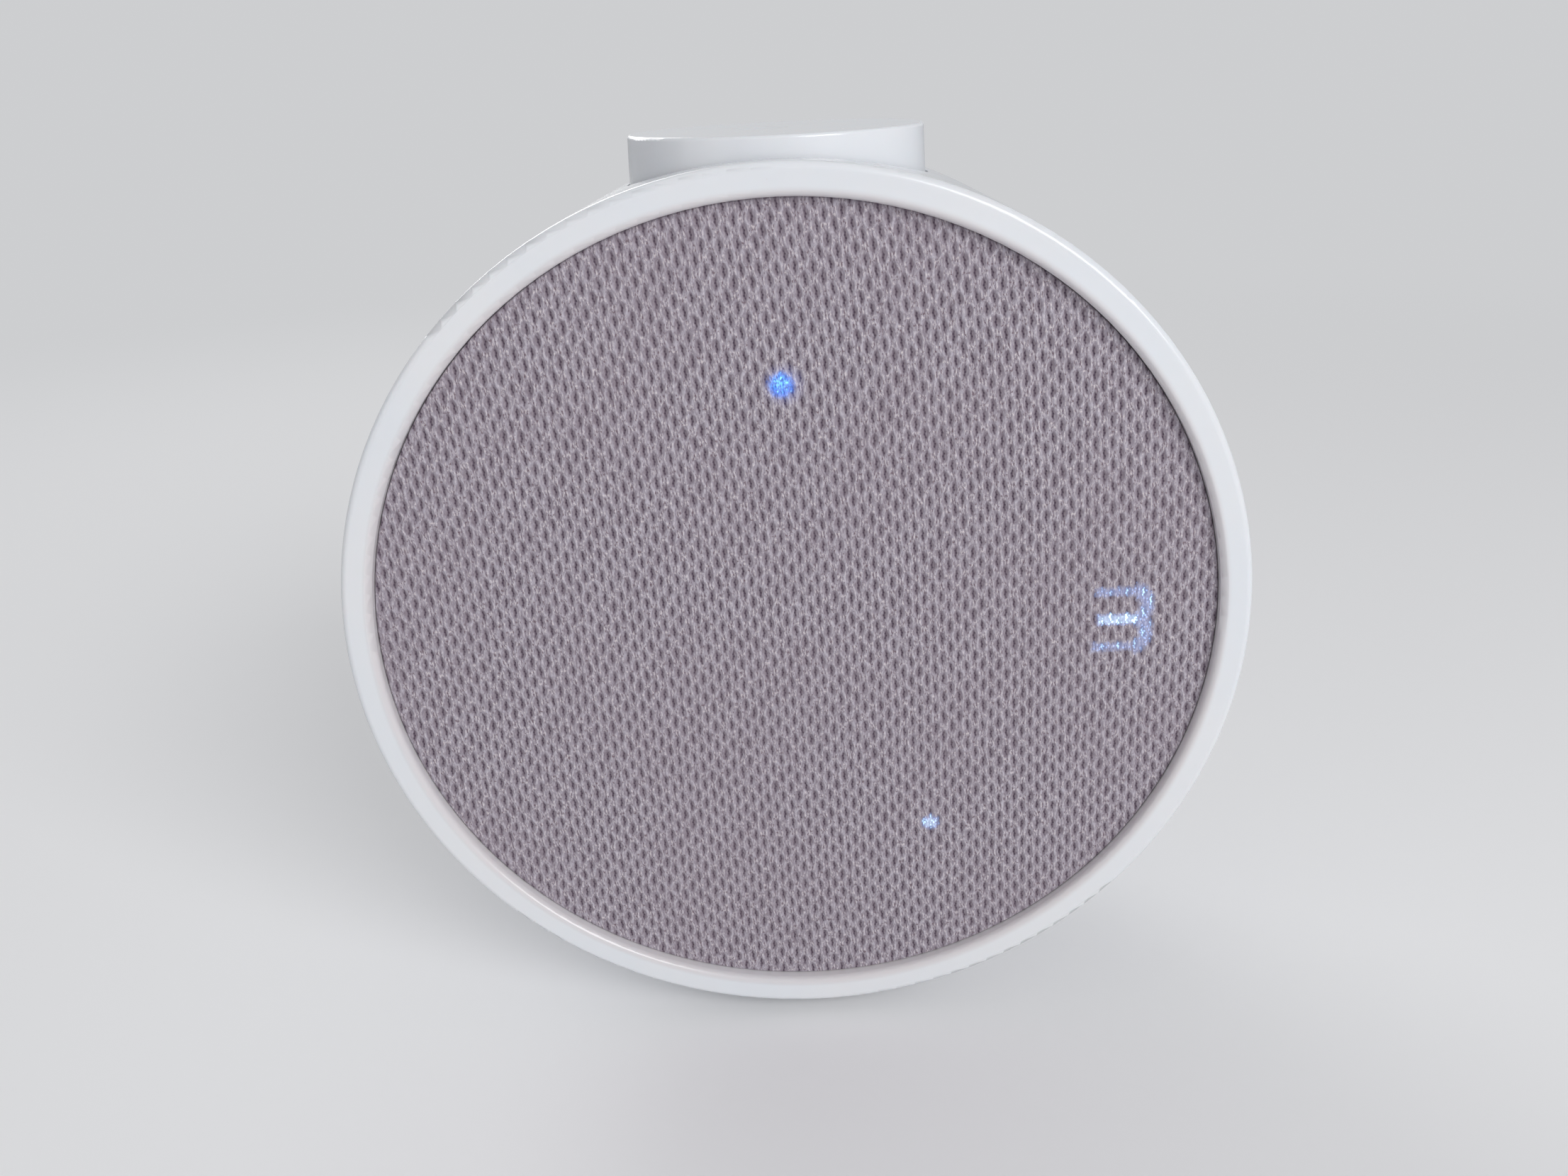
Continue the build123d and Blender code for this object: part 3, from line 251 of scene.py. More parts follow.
class Shader:
    """Node tree of one finish, with short ways to add the nodes that it needs."""

    def __init__(self, name: str) -> None:
        """Make an empty material with one Principled shader.

        Args:
            name: the material's name.
        """
        self.material = bpy.data.materials.new(name)
        self.material.use_nodes = True
        self.tree = self.material.node_tree
        self.principled = self.tree.nodes["Principled BSDF"]
        self.place = self.add("ShaderNodeTexCoord").outputs["Object"]

    def add(self, kind: str) -> bpy.types.Node:
        """Add a node of one kind."""
        return self.tree.nodes.new(kind)

    def feed(self, socket: bpy.types.NodeSocket, value: "Field | bpy.types.NodeSocket | float | Colour") -> None:
        """Link a value to a socket, or set a plain one on it.

        Args:
            socket: the input to feed.
            value: a field, another node's output, a number or a colour.
        """
        if isinstance(value, Field):
            self.tree.links.new(value.socket, socket)
        elif isinstance(value, bpy.types.NodeSocket):
            self.tree.links.new(value, socket)
        elif isinstance(value, tuple):
            socket.default_value = (*value, 1.0)
        else:
            socket.default_value = value

    def surface(self, **values: "Field | bpy.types.NodeSocket | float | Colour") -> None:
        """Feed the Principled shader, naming its inputs with underscores for spaces."""
        for name, value in values.items():
            self.feed(self.principled.inputs[name.replace("_", " ")], value)

    def along(self, scale: float = 1.0) -> tuple[Field, Field, Field]:
        """Object coordinates times a scale.

        Args:
            scale: units in a metre.

        Returns:
            One field for each axis.
        """
        split = self.add("ShaderNodeSeparateXYZ")
        self.feed(split.inputs[0], self.place)
        return tuple(Field(self, split.outputs[axis]) * scale for axis in range(3))

    def vector(self, x: "Field | float", y: "Field | float", z: "Field | float") -> bpy.types.NodeSocket:
        """Join three numbers to a vector.

        Args:
            x: first number.
            y: second number.
            z: third number.

        Returns:
            The vector.
        """
        node = self.add("ShaderNodeCombineXYZ")
        for socket, value in zip(node.inputs, (x, y, z)):
            self.feed(socket, value)
        return node.outputs[0]

    def noise(self, scale: float, detail: float = 3.0, at: bpy.types.NodeSocket | None = None) -> Field:
        """Cloudy noise.

        Args:
            scale: how many features fit in one unit of the coordinates.
            detail: octaves.
            at: coordinates, or None for the object's own.

        Returns:
            The noise from 0 to 1.
        """
        node = self.add("ShaderNodeTexNoise")
        node.inputs["Scale"].default_value = scale
        node.inputs["Detail"].default_value = detail
        self.feed(node.inputs["Vector"], at or self.place)
        return Field(self, node.outputs["Fac"])

    def grains(self, scale: float, at: bpy.types.NodeSocket | None = None) -> Field:
        """Distance to the nearest of many scattered points, for grains and specks.

        Args:
            scale: how many points fit in one unit of the coordinates.
            at: coordinates, or None for the object's own.

        Returns:
            The distance in parts of the points' spacing.
        """
        node = self.add("ShaderNodeTexVoronoi")
        node.inputs["Scale"].default_value = scale
        self.feed(node.inputs["Vector"], at or self.place)
        return Field(self, node.outputs["Distance"])

    def mix(
        self, share: Field, first: "Colour | bpy.types.NodeSocket", second: "Colour | bpy.types.NodeSocket"
    ) -> bpy.types.NodeSocket:
        """Blend two colours.

        Args:
            share: 0 for the first colour and 1 for the second.
            first: the first colour.
            second: the second colour.

        Returns:
            The blended colour.
        """
        node = self.add("ShaderNodeMix")
        node.data_type = "RGBA"
        self.feed(node.inputs["Factor"], share)
        # the colour inputs and output share their names with the node's other types, so they go by number
        self.feed(node.inputs[6], first)
        self.feed(node.inputs[7], second)
        return node.outputs[2]

    def bump(
        self, height: Field, depth: float, strength: float = 1.0, under: bpy.types.NodeSocket | None = None
    ) -> bpy.types.NodeSocket:
        """Bend the normal by a height.

        Args:
            height: height from 0 to 1.
            depth: what 1 stands for, in metres.
            strength: share of the effect.
            under: another bump that this one goes over.

        Returns:
            The bent normal.
        """
        node = self.add("ShaderNodeBump")
        node.inputs["Distance"].default_value = depth
        node.inputs["Strength"].default_value = strength
        self.feed(node.inputs["Height"], height)
        if under is not None:
            self.feed(node.inputs["Normal"], under)
        return node.outputs[0]


@dataclass(frozen=True)
class ShellMoulding:
    """Glossy white moulding of the drum, its ring and its button.

    It has a fine parting line behind the ring, a painted shade and reflection of the cloth on the ring's inner edge,
    handling haze and a few dust specks. Sizes are in metres, and the scales of patches in features to a metre.
    """

    name: str
    colour: Colour
    warm: Colour
    # colour of the painted shade and reflection of the cloth on the ring's inner edge
    painted_lip_shade: Colour
    layout: Layout
    groove: Colour = (0.20, 0.20, 0.21)
    dust: Colour = (0.52, 0.50, 0.48)
    polish: float = 0.20
    haze: float = 0.05
    patches: float = 38.0
    smears: float = 26.0
    waviness: float = 210.0
    wave_depth: float = 0.000001
    parting: float = 0.00009
    parting_depth: float = 0.00008
    parting_full: float = 0.0005
    parting_end: float = 0.0008
    lip_full: float = 0.0004
    lip_end: float = 0.0012
    lip_depth: float = 0.001
    lip_shade_share: float = 0.40
    dust_spacing: float = 900.0

    def parting_line(self, reach: Field, y: Field) -> Field:
        """Fine line where the ring meets the drum.

        Args:
            reach: distance from the drum's axis.
            y: place from front to back.

        Returns:
            1 on the line and 0 beside it.
        """
        ring = self.layout.ring_radius
        line = (y - self.layout.joint).size().ramp(self.parting, self.parting * 0.35)
        line = line * reach.ramp(ring - self.parting_end, ring - self.parting_full)
        return line * reach.ramp(ring + self.parting_end, ring + self.parting_full)

    def painted_shade_band(self, reach: Field, y: Field) -> Field:
        """Band of the ring next to the cloth, where its shade is painted, 1 on it and 0 elsewhere."""
        band = reach.ramp(self.layout.opening_radius + self.lip_end, self.layout.opening_radius + self.lip_full)
        return band * y.ramp(self.layout.joint, self.layout.joint - self.lip_depth)

    def build(self) -> bpy.types.Material:
        """Make the material.

        Returns:
            The finish.
        """
        shader = Shader(self.name)
        x, y, z = shader.along()
        reach = distance(x, z - self.layout.axis_z)
        # dust lies only where a second noise allows it
        speck = shader.grains(self.dust_spacing).ramp(0.10, 0.04) * shader.noise(420.0, 0.0).ramp(0.66, 0.70)
        line = self.parting_line(reach, y)
        smear = shader.noise(self.smears, 2.0)
        tone = shader.mix(shader.noise(self.patches, 4.0).ramp(0.35, 0.65), self.colour, self.warm)
        # painted shade and reflection of the cloth, even all round the ring's inner edge
        tone = shader.mix(self.painted_shade_band(reach, y) * self.lip_shade_share, tone, self.painted_lip_shade)
        tone = shader.mix(line * 0.7, tone, self.groove)
        skin = shader.bump(shader.noise(self.waviness, 1.0), self.wave_depth, 0.3)
        shader.surface(
            Base_Color=shader.mix(speck * 0.35, tone, self.dust),
            Roughness=smear.ramp(0.35, 0.75, self.polish, self.polish + self.haze) + speck * 0.4 + line * 0.4,
            Normal=shader.bump(1.0 - line, self.parting_depth, 0.8, skin),
            Specular_IOR_Level=0.5,
            Coat_Weight=0.25,
            Coat_Roughness=0.16,
            Subsurface_Weight=0.03,
            Subsurface_Scale=0.002,
        )
        return shader.material


@dataclass(frozen=True)
class MattMoulding:
    """Spark-textured matt plastic. Scales are in features to a metre."""

    name: str
    colour: Colour
    worn: Colour
    grain: float = 5200.0
    roughness: float = 0.55
    patches: float = 70.0
    pit_depth: float = 0.00002

    def build(self) -> bpy.types.Material:
        """Make the material.

        Returns:
            The finish.
        """
        shader = Shader(self.name)
        pits = shader.grains(self.grain)
        shader.surface(
            Base_Color=shader.mix(shader.noise(self.patches, 4.0).ramp(0.38, 0.7), self.colour, self.worn),
            Roughness=pits.about(self.roughness, low=0.1),
            Normal=shader.bump(pits, self.pit_depth, 0.6),
        )
        return shader.material


@dataclass(frozen=True)
class DrawnSteel:
    """Plated or drawn steel with fine running marks. Scales are in features to a metre."""

    name: str
    colour: Colour
    stain: Colour
    run: tuple[float, float, float] = (1.0, 1.0, 14.0)
    roughness: float = 0.32
    marks: float = 900.0
    stains: float = 240.0
    mark_depth: float = 0.000006

    def build(self) -> bpy.types.Material:
        """Make the material.

        Returns:
            The finish.
        """
        shader = Shader(self.name)
        x, y, z = shader.along()
        marks = shader.noise(self.marks, 3.0, shader.vector(x * self.run[0], y * self.run[1], z * self.run[2]))
        shader.surface(
            Base_Color=shader.mix(shader.noise(self.stains, 3.0).ramp(0.4, 0.75), self.colour, self.stain),
            Metallic=1.0,
            Roughness=marks.about(self.roughness),
            Normal=shader.bump(marks, self.mark_depth, 0.5),
        )
        return shader.material


@dataclass(frozen=True)
class CircuitBoard:
    """Solder resist over copper tracks, with pads and through holes.

    The pitch is in millimetres, and scales are in features to a metre.
    """

    name: str
    resist: Colour
    track: Colour
    pad: Colour = (0.62, 0.50, 0.24)
    pitch: float = 0.9
    breaks: float = 230.0
    holes: float = 520.0
    roughness: float = 0.36
    copper_height: float = 0.00003

    def build(self) -> bpy.types.Material:
        """Make the material.

        Returns:
            The finish.
        """
        shader = Shader(self.name)
        x, _, z = shader.along(1 / MM / self.pitch)
        lane = (x + (z * 0.35).sine() * 1.6).sine().ramp(0.55, 0.75)
        tracks = lane * shader.noise(self.breaks, 0.0).ramp(0.46, 0.52)
        vias = shader.grains(self.holes).ramp(0.13, 0.09)
        tone = shader.mix(tracks, self.resist, self.track)
        shader.surface(
            Base_Color=shader.mix(vias, tone, self.pad),
            Roughness=shader.noise(900.0, 2.0).about(self.roughness, above=0.06),
            Normal=shader.bump(tracks.larger(vias), self.copper_height, 0.6),
        )
        return shader.material


@dataclass(frozen=True)
class MouldedResin:
    """Epoxy package or frosted resin with a fine mould grain. Scales are in features to a metre."""

    name: str
    colour: Colour
    light: Colour
    roughness: float = 0.45
    grain: float = 6000.0
    patches: float = 500.0
    grain_depth: float = 0.00001

    def build(self) -> bpy.types.Material:
        """Make the material.

        Returns:
            The finish.
        """
        shader = Shader(self.name)
        grain = shader.noise(self.grain, 2.0)
        shader.surface(
            Base_Color=shader.mix(shader.noise(self.patches, 2.0).ramp(0.35, 0.7), self.colour, self.light),
            Roughness=grain.about(self.roughness, 0.06, 0.1),
            Normal=shader.bump(grain, self.grain_depth, 0.4),
        )
        return shader.material


@dataclass(frozen=True)
class Rubber:
    """Moulded rubber or foam with a chalky bloom. Scales are in features to a metre."""

    name: str
    colour: Colour
    bloom: Colour
    pores: float = 3200.0
    depth: float = 0.00003
    roughness: float = 0.72
    patches: float = 110.0

    def build(self) -> bpy.types.Material:
        """Make the material.

        Returns:
            The finish.
        """
        shader = Shader(self.name)
        cloud = shader.noise(self.patches, 5.0)
        shader.surface(
            Base_Color=shader.mix(cloud.ramp(0.42, 0.72), self.colour, self.bloom),
            Roughness=cloud.about(self.roughness),
            Normal=shader.bump(shader.grains(self.pores), self.depth, 0.6),
            Sheen_Weight=0.1,
        )
        return shader.material


@dataclass(frozen=True)
class PressedFibre:
    """Pressed paper pulp, as in a loudspeaker's cone. Fibres are in features to a metre."""

    name: str
    colour: Colour
    fibre: Colour
    fibres: float = 2600.0
    stretch: float = 5.0
    fibre_height: float = 0.00004

    def build(self) -> bpy.types.Material:
        """Make the material.

        Returns:
            The finish.
        """
        shader = Shader(self.name)
        x, y, z = shader.along()
        first = shader.noise(self.fibres, 3.0, shader.vector(x * self.stretch, y, z))
        second = shader.noise(self.fibres, 3.0, shader.vector(x, y, z * self.stretch))
        hairs = first.ramp(0.55, 0.7).larger(second.ramp(0.56, 0.7))
        shader.surface(
            Base_Color=shader.mix(hairs, self.colour, self.fibre),
            Roughness=hairs.ramp(0.0, 1.0, 0.86, 0.72),
            Normal=shader.bump(hairs, self.fibre_height, 0.5),
        )
        return shader.material


@dataclass(frozen=True)
class Weave:
    """Plain woven cotton, stiffened with resin. The pitch is in millimetres."""

    name: str
    colour: Colour
    shade: Colour
    pitch: float = 0.35
    thread_height: float = 0.00008

    def build(self) -> bpy.types.Material:
        """Make the material.

        Returns:
            The finish.
        """
        shader = Shader(self.name)
        x, _, z = shader.along(1 / MM * math.pi / self.pitch)
        over = x.sine().size().smaller(z.sine().size())
        shader.surface(
            Base_Color=shader.mix(over.ramp(0.05, 0.6), self.shade, self.colour),
            Roughness=over.ramp(0.0, 0.6, 0.9, 0.62),
            Normal=shader.bump(over, self.thread_height, 0.7),
            Sheen_Weight=0.15,
        )
        return shader.material


@dataclass(frozen=True)
class WoundWire:
    """Enamelled copper wire wound on a former along the drum's axis. The wire is in millimetres."""

    name: str
    colour: Colour
    gap: Colour
    wire: float = 0.16
    turn_height: float = 0.00005

    def build(self) -> bpy.types.Material:
        """Make the material.

        Returns:
            The finish.
        """
        shader = Shader(self.name)
        _, y, _ = shader.along(1 / MM * math.pi / self.wire)
        turn = y.sine().size()
        shader.surface(
            Base_Color=shader.mix(turn.ramp(0.1, 0.5), self.gap, self.colour),
            Metallic=0.85,
            Roughness=turn.ramp(0.0, 1.0, 0.5, 0.26),
            Normal=shader.bump(turn, self.turn_height, 0.8),
        )
        return shader.material


# ---------------------------------------------------------------- cloth and the lights behind it


class KnitMaths:
    """The few operations of the knit's formula, on arrays."""

    @staticmethod
    def sine(value: np.ndarray) -> np.ndarray:
        """Sine."""
        return np.sin(value)

    @staticmethod
    def whole(value: np.ndarray) -> np.ndarray:
        """Nearest whole number."""
        return np.floor(value + 0.5)


class KnitFields(KnitMaths):
    """The same operations on shader fields."""

    @staticmethod
    def sine(value: Field) -> Field:
        """Sine."""
        return value.sine()

    @staticmethod
    def whole(value: Field) -> Field:
        """Nearest whole number."""
        return value.whole()


@dataclass(frozen=True)
class Knit:
    """Warp-knitted cloth: leaning columns of oval holes, each column half a period up from the next.

    Sizes are in millimetres and angles in degrees. Bend, spread, skew and twist say how the taut cloth is drawn
    out of square: how the columns' lean grows upward, how they close up to the right and to the top, and how the
    lean grows again near the upper and lower edge. Sway, wobble, rise and ripple are the sizes of slight waves.
    """

    column: float = 1.015
    period: float = 2.8
    lean: float = 1.2
    tilt: float = 2.8
    hole_width: float = 0.375
    hole_height: float = 0.92
    relief: float = 0.34
    bend: float = 0.00036
    spread: float = 0.0002
    skew: float = 0.0002
    twist: float = 0.0000079
    sway: float = 0.03
    wobble: float = 0.05
    rise: float = 0.22
    ripple: float = 0.10

    def lattice(self, x: "Field | np.ndarray", z: "Field | np.ndarray", flat: KnitMaths) -> tuple:
        """Place in the knit, the same formula for the mesh and for the nodes.

        Args:
            x: millimetres to the right of the cloth's middle.
            z: millimetres above the cloth's middle.
            flat: the operations to use, for arrays or for fields.

        Returns:
            Place across a column and along it, both from -0.5 to 0.5, and each hole's own swell.
        """
        lean = math.radians(self.lean)
        tilt = math.radians(self.tilt)
        across = x * math.cos(lean) + z * math.sin(lean)
        across = across + z * z * self.bend + x * x * self.spread + x * z * self.skew + z * z * z * self.twist
        along = z * math.cos(tilt) - x * math.sin(tilt)
        sway = flat.sine(along * 0.31 + 1.1) * self.sway
        across = across + sway + flat.sine(along * 1.7 + across * 0.6) * self.wobble
        along = along + flat.sine(across * 0.23) * self.rise + flat.sine(across * 1.9 + along * 0.35) * self.ripple
        columns = across * (1 / self.column)
        number = flat.whole(columns)
        half = number * 0.5
        offset = half - flat.whole(half - 0.25)
        rows = along * (1 / self.period) + offset
        row = flat.whole(rows)
        # waves out of step with the columns and rows give each hole its own size
        swell = flat.sine(number * 2.39 + row * 4.12) * 0.5 + flat.sine(number * 0.71 - row * 1.37) * 0.5
        return columns - number, rows - row, swell


@dataclass(frozen=True)
class Glow:
    """A round spot of light from behind the cloth, painted on the cloth as emission, in millimetres from the cloth's
    middle.
    """

    place: tuple[float, float]
    radius: float
    blur: float
    power: float = 1.0

    def mask(self, x: Field, z: Field) -> Field:
        """Light on the cloth, from 0 to the spot's power."""
        reach = distance(x - self.place[0], z - self.place[1])
        return reach.ramp(self.radius + self.blur, self.radius - self.blur, 0.0, self.power)


@dataclass(frozen=True)
class Stroke:
    """A bar of a lit figure, in millimetres from the cloth's middle."""

    place: tuple[float, float]
    half: tuple[float, float]
    blur: float
    power: float

    def mask(self, x: Field, z: Field) -> Field:
        """Light on the cloth.

        Args:
            x: millimetres to the right.
            z: millimetres up.

        Returns:
            The light, from 0 to the bar's power.
        """
        dx = (x - self.place[0]).size() - self.half[0]
        dz = (z - self.place[1]).size() - self.half[1]
        return dx.larger(dz).ramp(self.blur, -self.blur, 0.0, self.power)


@dataclass(frozen=True)
class Bow:
    """The right half of an oval ring, for the round sides of a lit figure, in millimetres."""

    place: tuple[float, float]
    radii: tuple[float, float]
    half: float
    blur: float
    power: float

    def mask(self, x: Field, z: Field) -> Field:
        """Light on the cloth.

        Args:
            x: millimetres to the right.
            z: millimetres up.

        Returns:
            The light, from 0 to the bow's power.
        """
        dx = (x - self.place[0]) * (1 / self.radii[0])
        dz = (z - self.place[1]) * (1 / self.radii[1])
        off = (distance(dx, dz) - 1.0).size() * ((self.radii[0] + self.radii[1]) / 2) - self.half
        # the left half fades out
        return off.ramp(self.blur, -self.blur, 0.0, self.power) * dx.ramp(-0.05, 0.15)


@dataclass(frozen=True)
class DialLights:
    """What the dial shows, painted on the cloth as emitted light: the hour's figure, the minute's dot and the status
    light.

    Sizes are in millimetres, and angles in degrees clockwise from the top.
    """

    hour_place: tuple[float, float] = (40.8, -0.1)
    hour_size: tuple[float, float] = (6.9, 8.4)
    stroke: float = 1.0
    bow: float = 1.5
    bow_spill: float = 0.38
    minute_circle: float = 33.2
    minute_angle: float = 149.7
    minute_radius: float = 0.95
    status_place: tuple[float, float] = (-0.45, 31.4)
    status_radius: float = 1.42
    heart_shift: tuple[float, float] = (-0.15, 0.30)
    heart_radius: float = 0.70
    halo_shift: float = 0.30
    halo_radius: float = 1.8

    def figure(self) -> list[Stroke | Bow]:
        """Draw the figure three.

        Returns:
            Its upper, middle and lower bar and its two bows.
        """
        x, z = self.hour_place
        width, height = self.hour_size
        half = self.stroke / 2
        rise = height / 2 - half
        bow_x = x + width / 2 - half - self.bow
        left = x - width / 2
        reach = (bow_x + 0.15 - left) / 2
        radii = (self.bow, rise / 2)
        around = half + self.bow_spill
        return [
            Stroke((left + reach, z + rise), (reach, half), blur=0.40, power=0.72),
            Stroke((left + reach + 0.25, z), (reach - 0.05, half + 0.16), blur=0.35, power=1.40),
            Stroke((left + reach - 0.25, z - rise), (reach, half), blur=0.40, power=0.70),
            Bow((bow_x, z + rise / 2), radii, around, blur=0.50, power=0.80),
            Bow((bow_x, z - rise / 2), radii, around, blur=0.50, power=0.74),
        ]

    def minute(self) -> Glow:
        """Place the minute's dot.

        Returns:
            Its spot.
        """
        turn = math.radians(90 - self.minute_angle)
        place = (self.minute_circle * math.cos(turn), self.minute_circle * math.sin(turn))
        return Glow(place, self.minute_radius, blur=0.50, power=1.25)

    def status(self) -> Glow:
        """The status light."""
        return Glow(self.status_place, self.status_radius, blur=0.50)

    def status_heart(self) -> Glow:
        """The brightest part of the status light, a little off its middle."""
        place = (self.status_place[0] + self.heart_shift[0], self.status_place[1] + self.heart_shift[1])
        return Glow(place, self.heart_radius, blur=0.70)

    def status_halo(self) -> Glow:
        """The haze round the status light."""
        place = (self.status_place[0] + self.halo_shift, self.status_place[1])
        return Glow(place, self.halo_radius, blur=1.2)


@dataclass(frozen=True)
class Stitches:
    """The knit at a point, as fields that the yarn's tone and the dial's light share.

    Places are in millimetres, across and along run from -0.5 to 0.5, and the rest runs from 0 to 1.
    """

    x: Field
    z: Field
    across: Field
    along: Field
    fray: Field
    strand: Field
    hole: Field
    core: Field
    loops: Field
    beads: Field


@dataclass(frozen=True)
class DialGlow:
    """The dial's light, painted on the cloth as its own emission: how much of it tints the yarn, its colour and its
    strength.
    """

    tint: Field
    colour: bpy.types.NodeSocket
    strength: Field


@dataclass(frozen=True)
class KnitCloth:
    """Grey melange knit over a black scrim, with the dial's light painted on it as emission where it would come
    through its holes.

    The strands' turn is in degrees. Shares and powers go from 0 for none.
    """

    name: str
    knit: Knit
    lights: DialLights
    middle: Vector
    yarn: Colour = (0.290, 0.256, 0.300)
    yarn_light: Colour = (0.520, 0.487, 0.555)
    yarn_warm: Colour = (0.29, 0.23, 0.27)
    # the yarn's colour where the dial's light is painted on it
    yarn_lit: Colour = (0.050, 0.080, 0.200)
    hole: Colour = (0.172, 0.132, 0.165)
    core: Colour = (0.040, 0.022, 0.046)
    dark_tick: Colour = (0.115, 0.058, 0.072)
    light_tick: Colour = (0.760, 0.690, 0.700)
    # colours of the light that the cloth emits where the dial's light is painted on it
    figure_blue: Colour = (0.24, 0.42, 0.95)
    figure_white: Colour = (0.55, 0.82, 1.0)
    status_deep: Colour = (0.045, 0.210, 0.90)
    status_light: Colour = (0.150, 0.290, 0.92)
    status_cyan: Colour = (0.22, 0.78, 1.0)
    strand_turn: float = 18.0
    legs_per_column: float = 2.5
    gap_width: float = 0.135
    gap_height: float = 0.78
    hole_share: float = 0.74
    core_share: float = 0.84
    leg_shade: float = 0.30
    leg_shine: float = 0.22
    lane_shade: float = 0.20
    dark_tick_share: float = 0.72
    light_tick_share: float = 0.68
    warm_share: float = 0.12
    hair_height: float = 0.00010
    loop_height: float = 0.00005
    # strengths of the dial's light painted on the cloth as emission
    sparkle_power: float = 1.35
    status_power: float = 0.80
    halo_power: float = 0.20
    glint_power: float = 0.75

    def strands(self, shader: Shader, x: Field, z: Field, side: Field) -> Field:
        """Threads that cross from one hole's side to the next, leaning left or right.

        Args:
            shader: the finish being made.
            x: millimetres to the right.
            z: millimetres up.
            side: above 0 where the threads lean left, below 0 where they lean right.

        Returns:
            The threads' height from 0 to 1.
        """
        turn = math.radians(self.strand_turn)
        leaning = []
        for way in (1.0, -1.0):
            over = x * math.cos(turn) + z * (way * math.sin(turn))
            down = z * math.cos(turn) - x * (way * math.sin(turn))
            leaning.append(shader.noise(1.0, 2.5, shader.vector(over * 3.5, 0.0, down * 1.05)))
        left, right = leaning
        share = side.ramp(-0.035, 0.035)
        return left * share + right * (1.0 - share)

    def stitches(self, shader: Shader) -> Stitches:
        """Find the holes, the gaps in them, the threads and the loops.

        Args:
            shader: the finish being made.

        Returns:
            The parts of the knit as fields.
        """
        knit = self.knit
        x, _, z = shader.along(1 / MM)
        z = z - self.middle.z / MM
        across, along, swell = knit.lattice(x, z, KnitFields())
        wide = across * (knit.column / knit.hole_width)
        tall = along * (knit.period / knit.hole_height)
        fray = shader.noise(2.3, 2.0, shader.vector(x * 1.5, 0.0, z * 0.8))
        hole = (distance(wide, tall) - swell * 0.12 + fray * 0.6).ramp(1.66, 0.80)
        # a chain of small dark gaps runs down each hole
        zigzag = (z * 9.2 + swell * 3.0).sine()
        gap_wide = (across * knit.column + zigzag * 0.060 - 0.03) * (1 / self.gap_width)
        gap_tall = tall * (1 / self.gap_height) + 0.16
        core = (distance(gap_wide, gap_tall) + fray * 0.5).ramp(1.48, 0.72) * (zigzag.size() * 0.55 + 0.45)
        return Stitches(
            x=x,
            z=z,
            across=across,
            along=along,
            fray=fray,
            strand=self.strands(shader, x, z, across * along),
            hole=hole,
            core=core,
            # loops show as short light and dark ticks
            loops=shader.noise(1.0, 1.0, shader.vector(x * 5.6 + z * 0.5, 0.0, z * 2.3)),
            beads=shader.grains(2.2, shader.vector(x * 1.35, 0.0, z)).ramp(0.46, 0.10),
        )

    def yarn_tone(self, shader: Shader, at: Stitches) -> bpy.types.NodeSocket:
        """Colour of the cloth without the dial's light.

        Args:
            shader: the finish being made.
            at: the parts of the knit.

        Returns:
            The colour.
        """
        melange = shader.noise(1.15, 2.0, shader.vector(at.x * 2.2, 0.0, at.z * 0.7))
        light = at.strand.ramp(0.36, 0.66) * 0.70 + melange.ramp(0.35, 0.65) * 0.30
        tone = shader.mix(light, self.yarn, self.yarn_light)
        tone = shader.mix(at.hole * (1.0 - at.strand.ramp(0.50, 0.68) * 0.55) * self.hole_share, tone, self.hole)
        # the legs of the loops stand side by side, five to two columns, and swap at each row
        legs = (at.across * (math.tau * self.legs_per_column) + math.pi / 2).sine()
        legs = legs * (at.along * math.tau + math.pi / 2).sine()
        lane = at.across.size().ramp(0.34, 0.06)
        tone = shader.mix(lane * self.lane_shade + legs.ramp(0.10, 0.85) * self.leg_shade, tone, self.hole)
        tone = shader.mix(legs.ramp(-0.10, -0.85) * (1.0 - at.hole * 0.5) * self.leg_shine, tone, self.light_tick)
        tone = shader.mix(at.core * self.core_share, tone, self.core)
        # ticks show most on the bridges between one hole and the next
        bridge = at.along.size().ramp(0.14, 0.34)
        room = (bridge * 0.85 + 0.15) * (1.0 - at.hole * 0.75)
        tone = shader.mix(at.loops.ramp(0.44, 0.34) * room * self.dark_tick_share, tone, self.dark_tick)
        tone = shader.mix(at.loops.ramp(0.57, 0.67) * room * self.light_tick_share, tone, self.light_tick)
        cloud = shader.noise(0.045, 2.0, shader.vector(at.x, 0.0, at.z))
        return shader.mix(cloud.ramp(0.35, 0.65) * self.warm_share, tone, self.yarn_warm)

    def dial_glow(self, shader: Shader, at: Stitches) -> DialGlow:
        """Light of the dial, painted on the cloth as emission, in sparkles where it would find a way between the
        threads.

        Args:
            shader: the finish being made.
            at: the parts of the knit.

        Returns:
            What the light does to the cloth.
        """
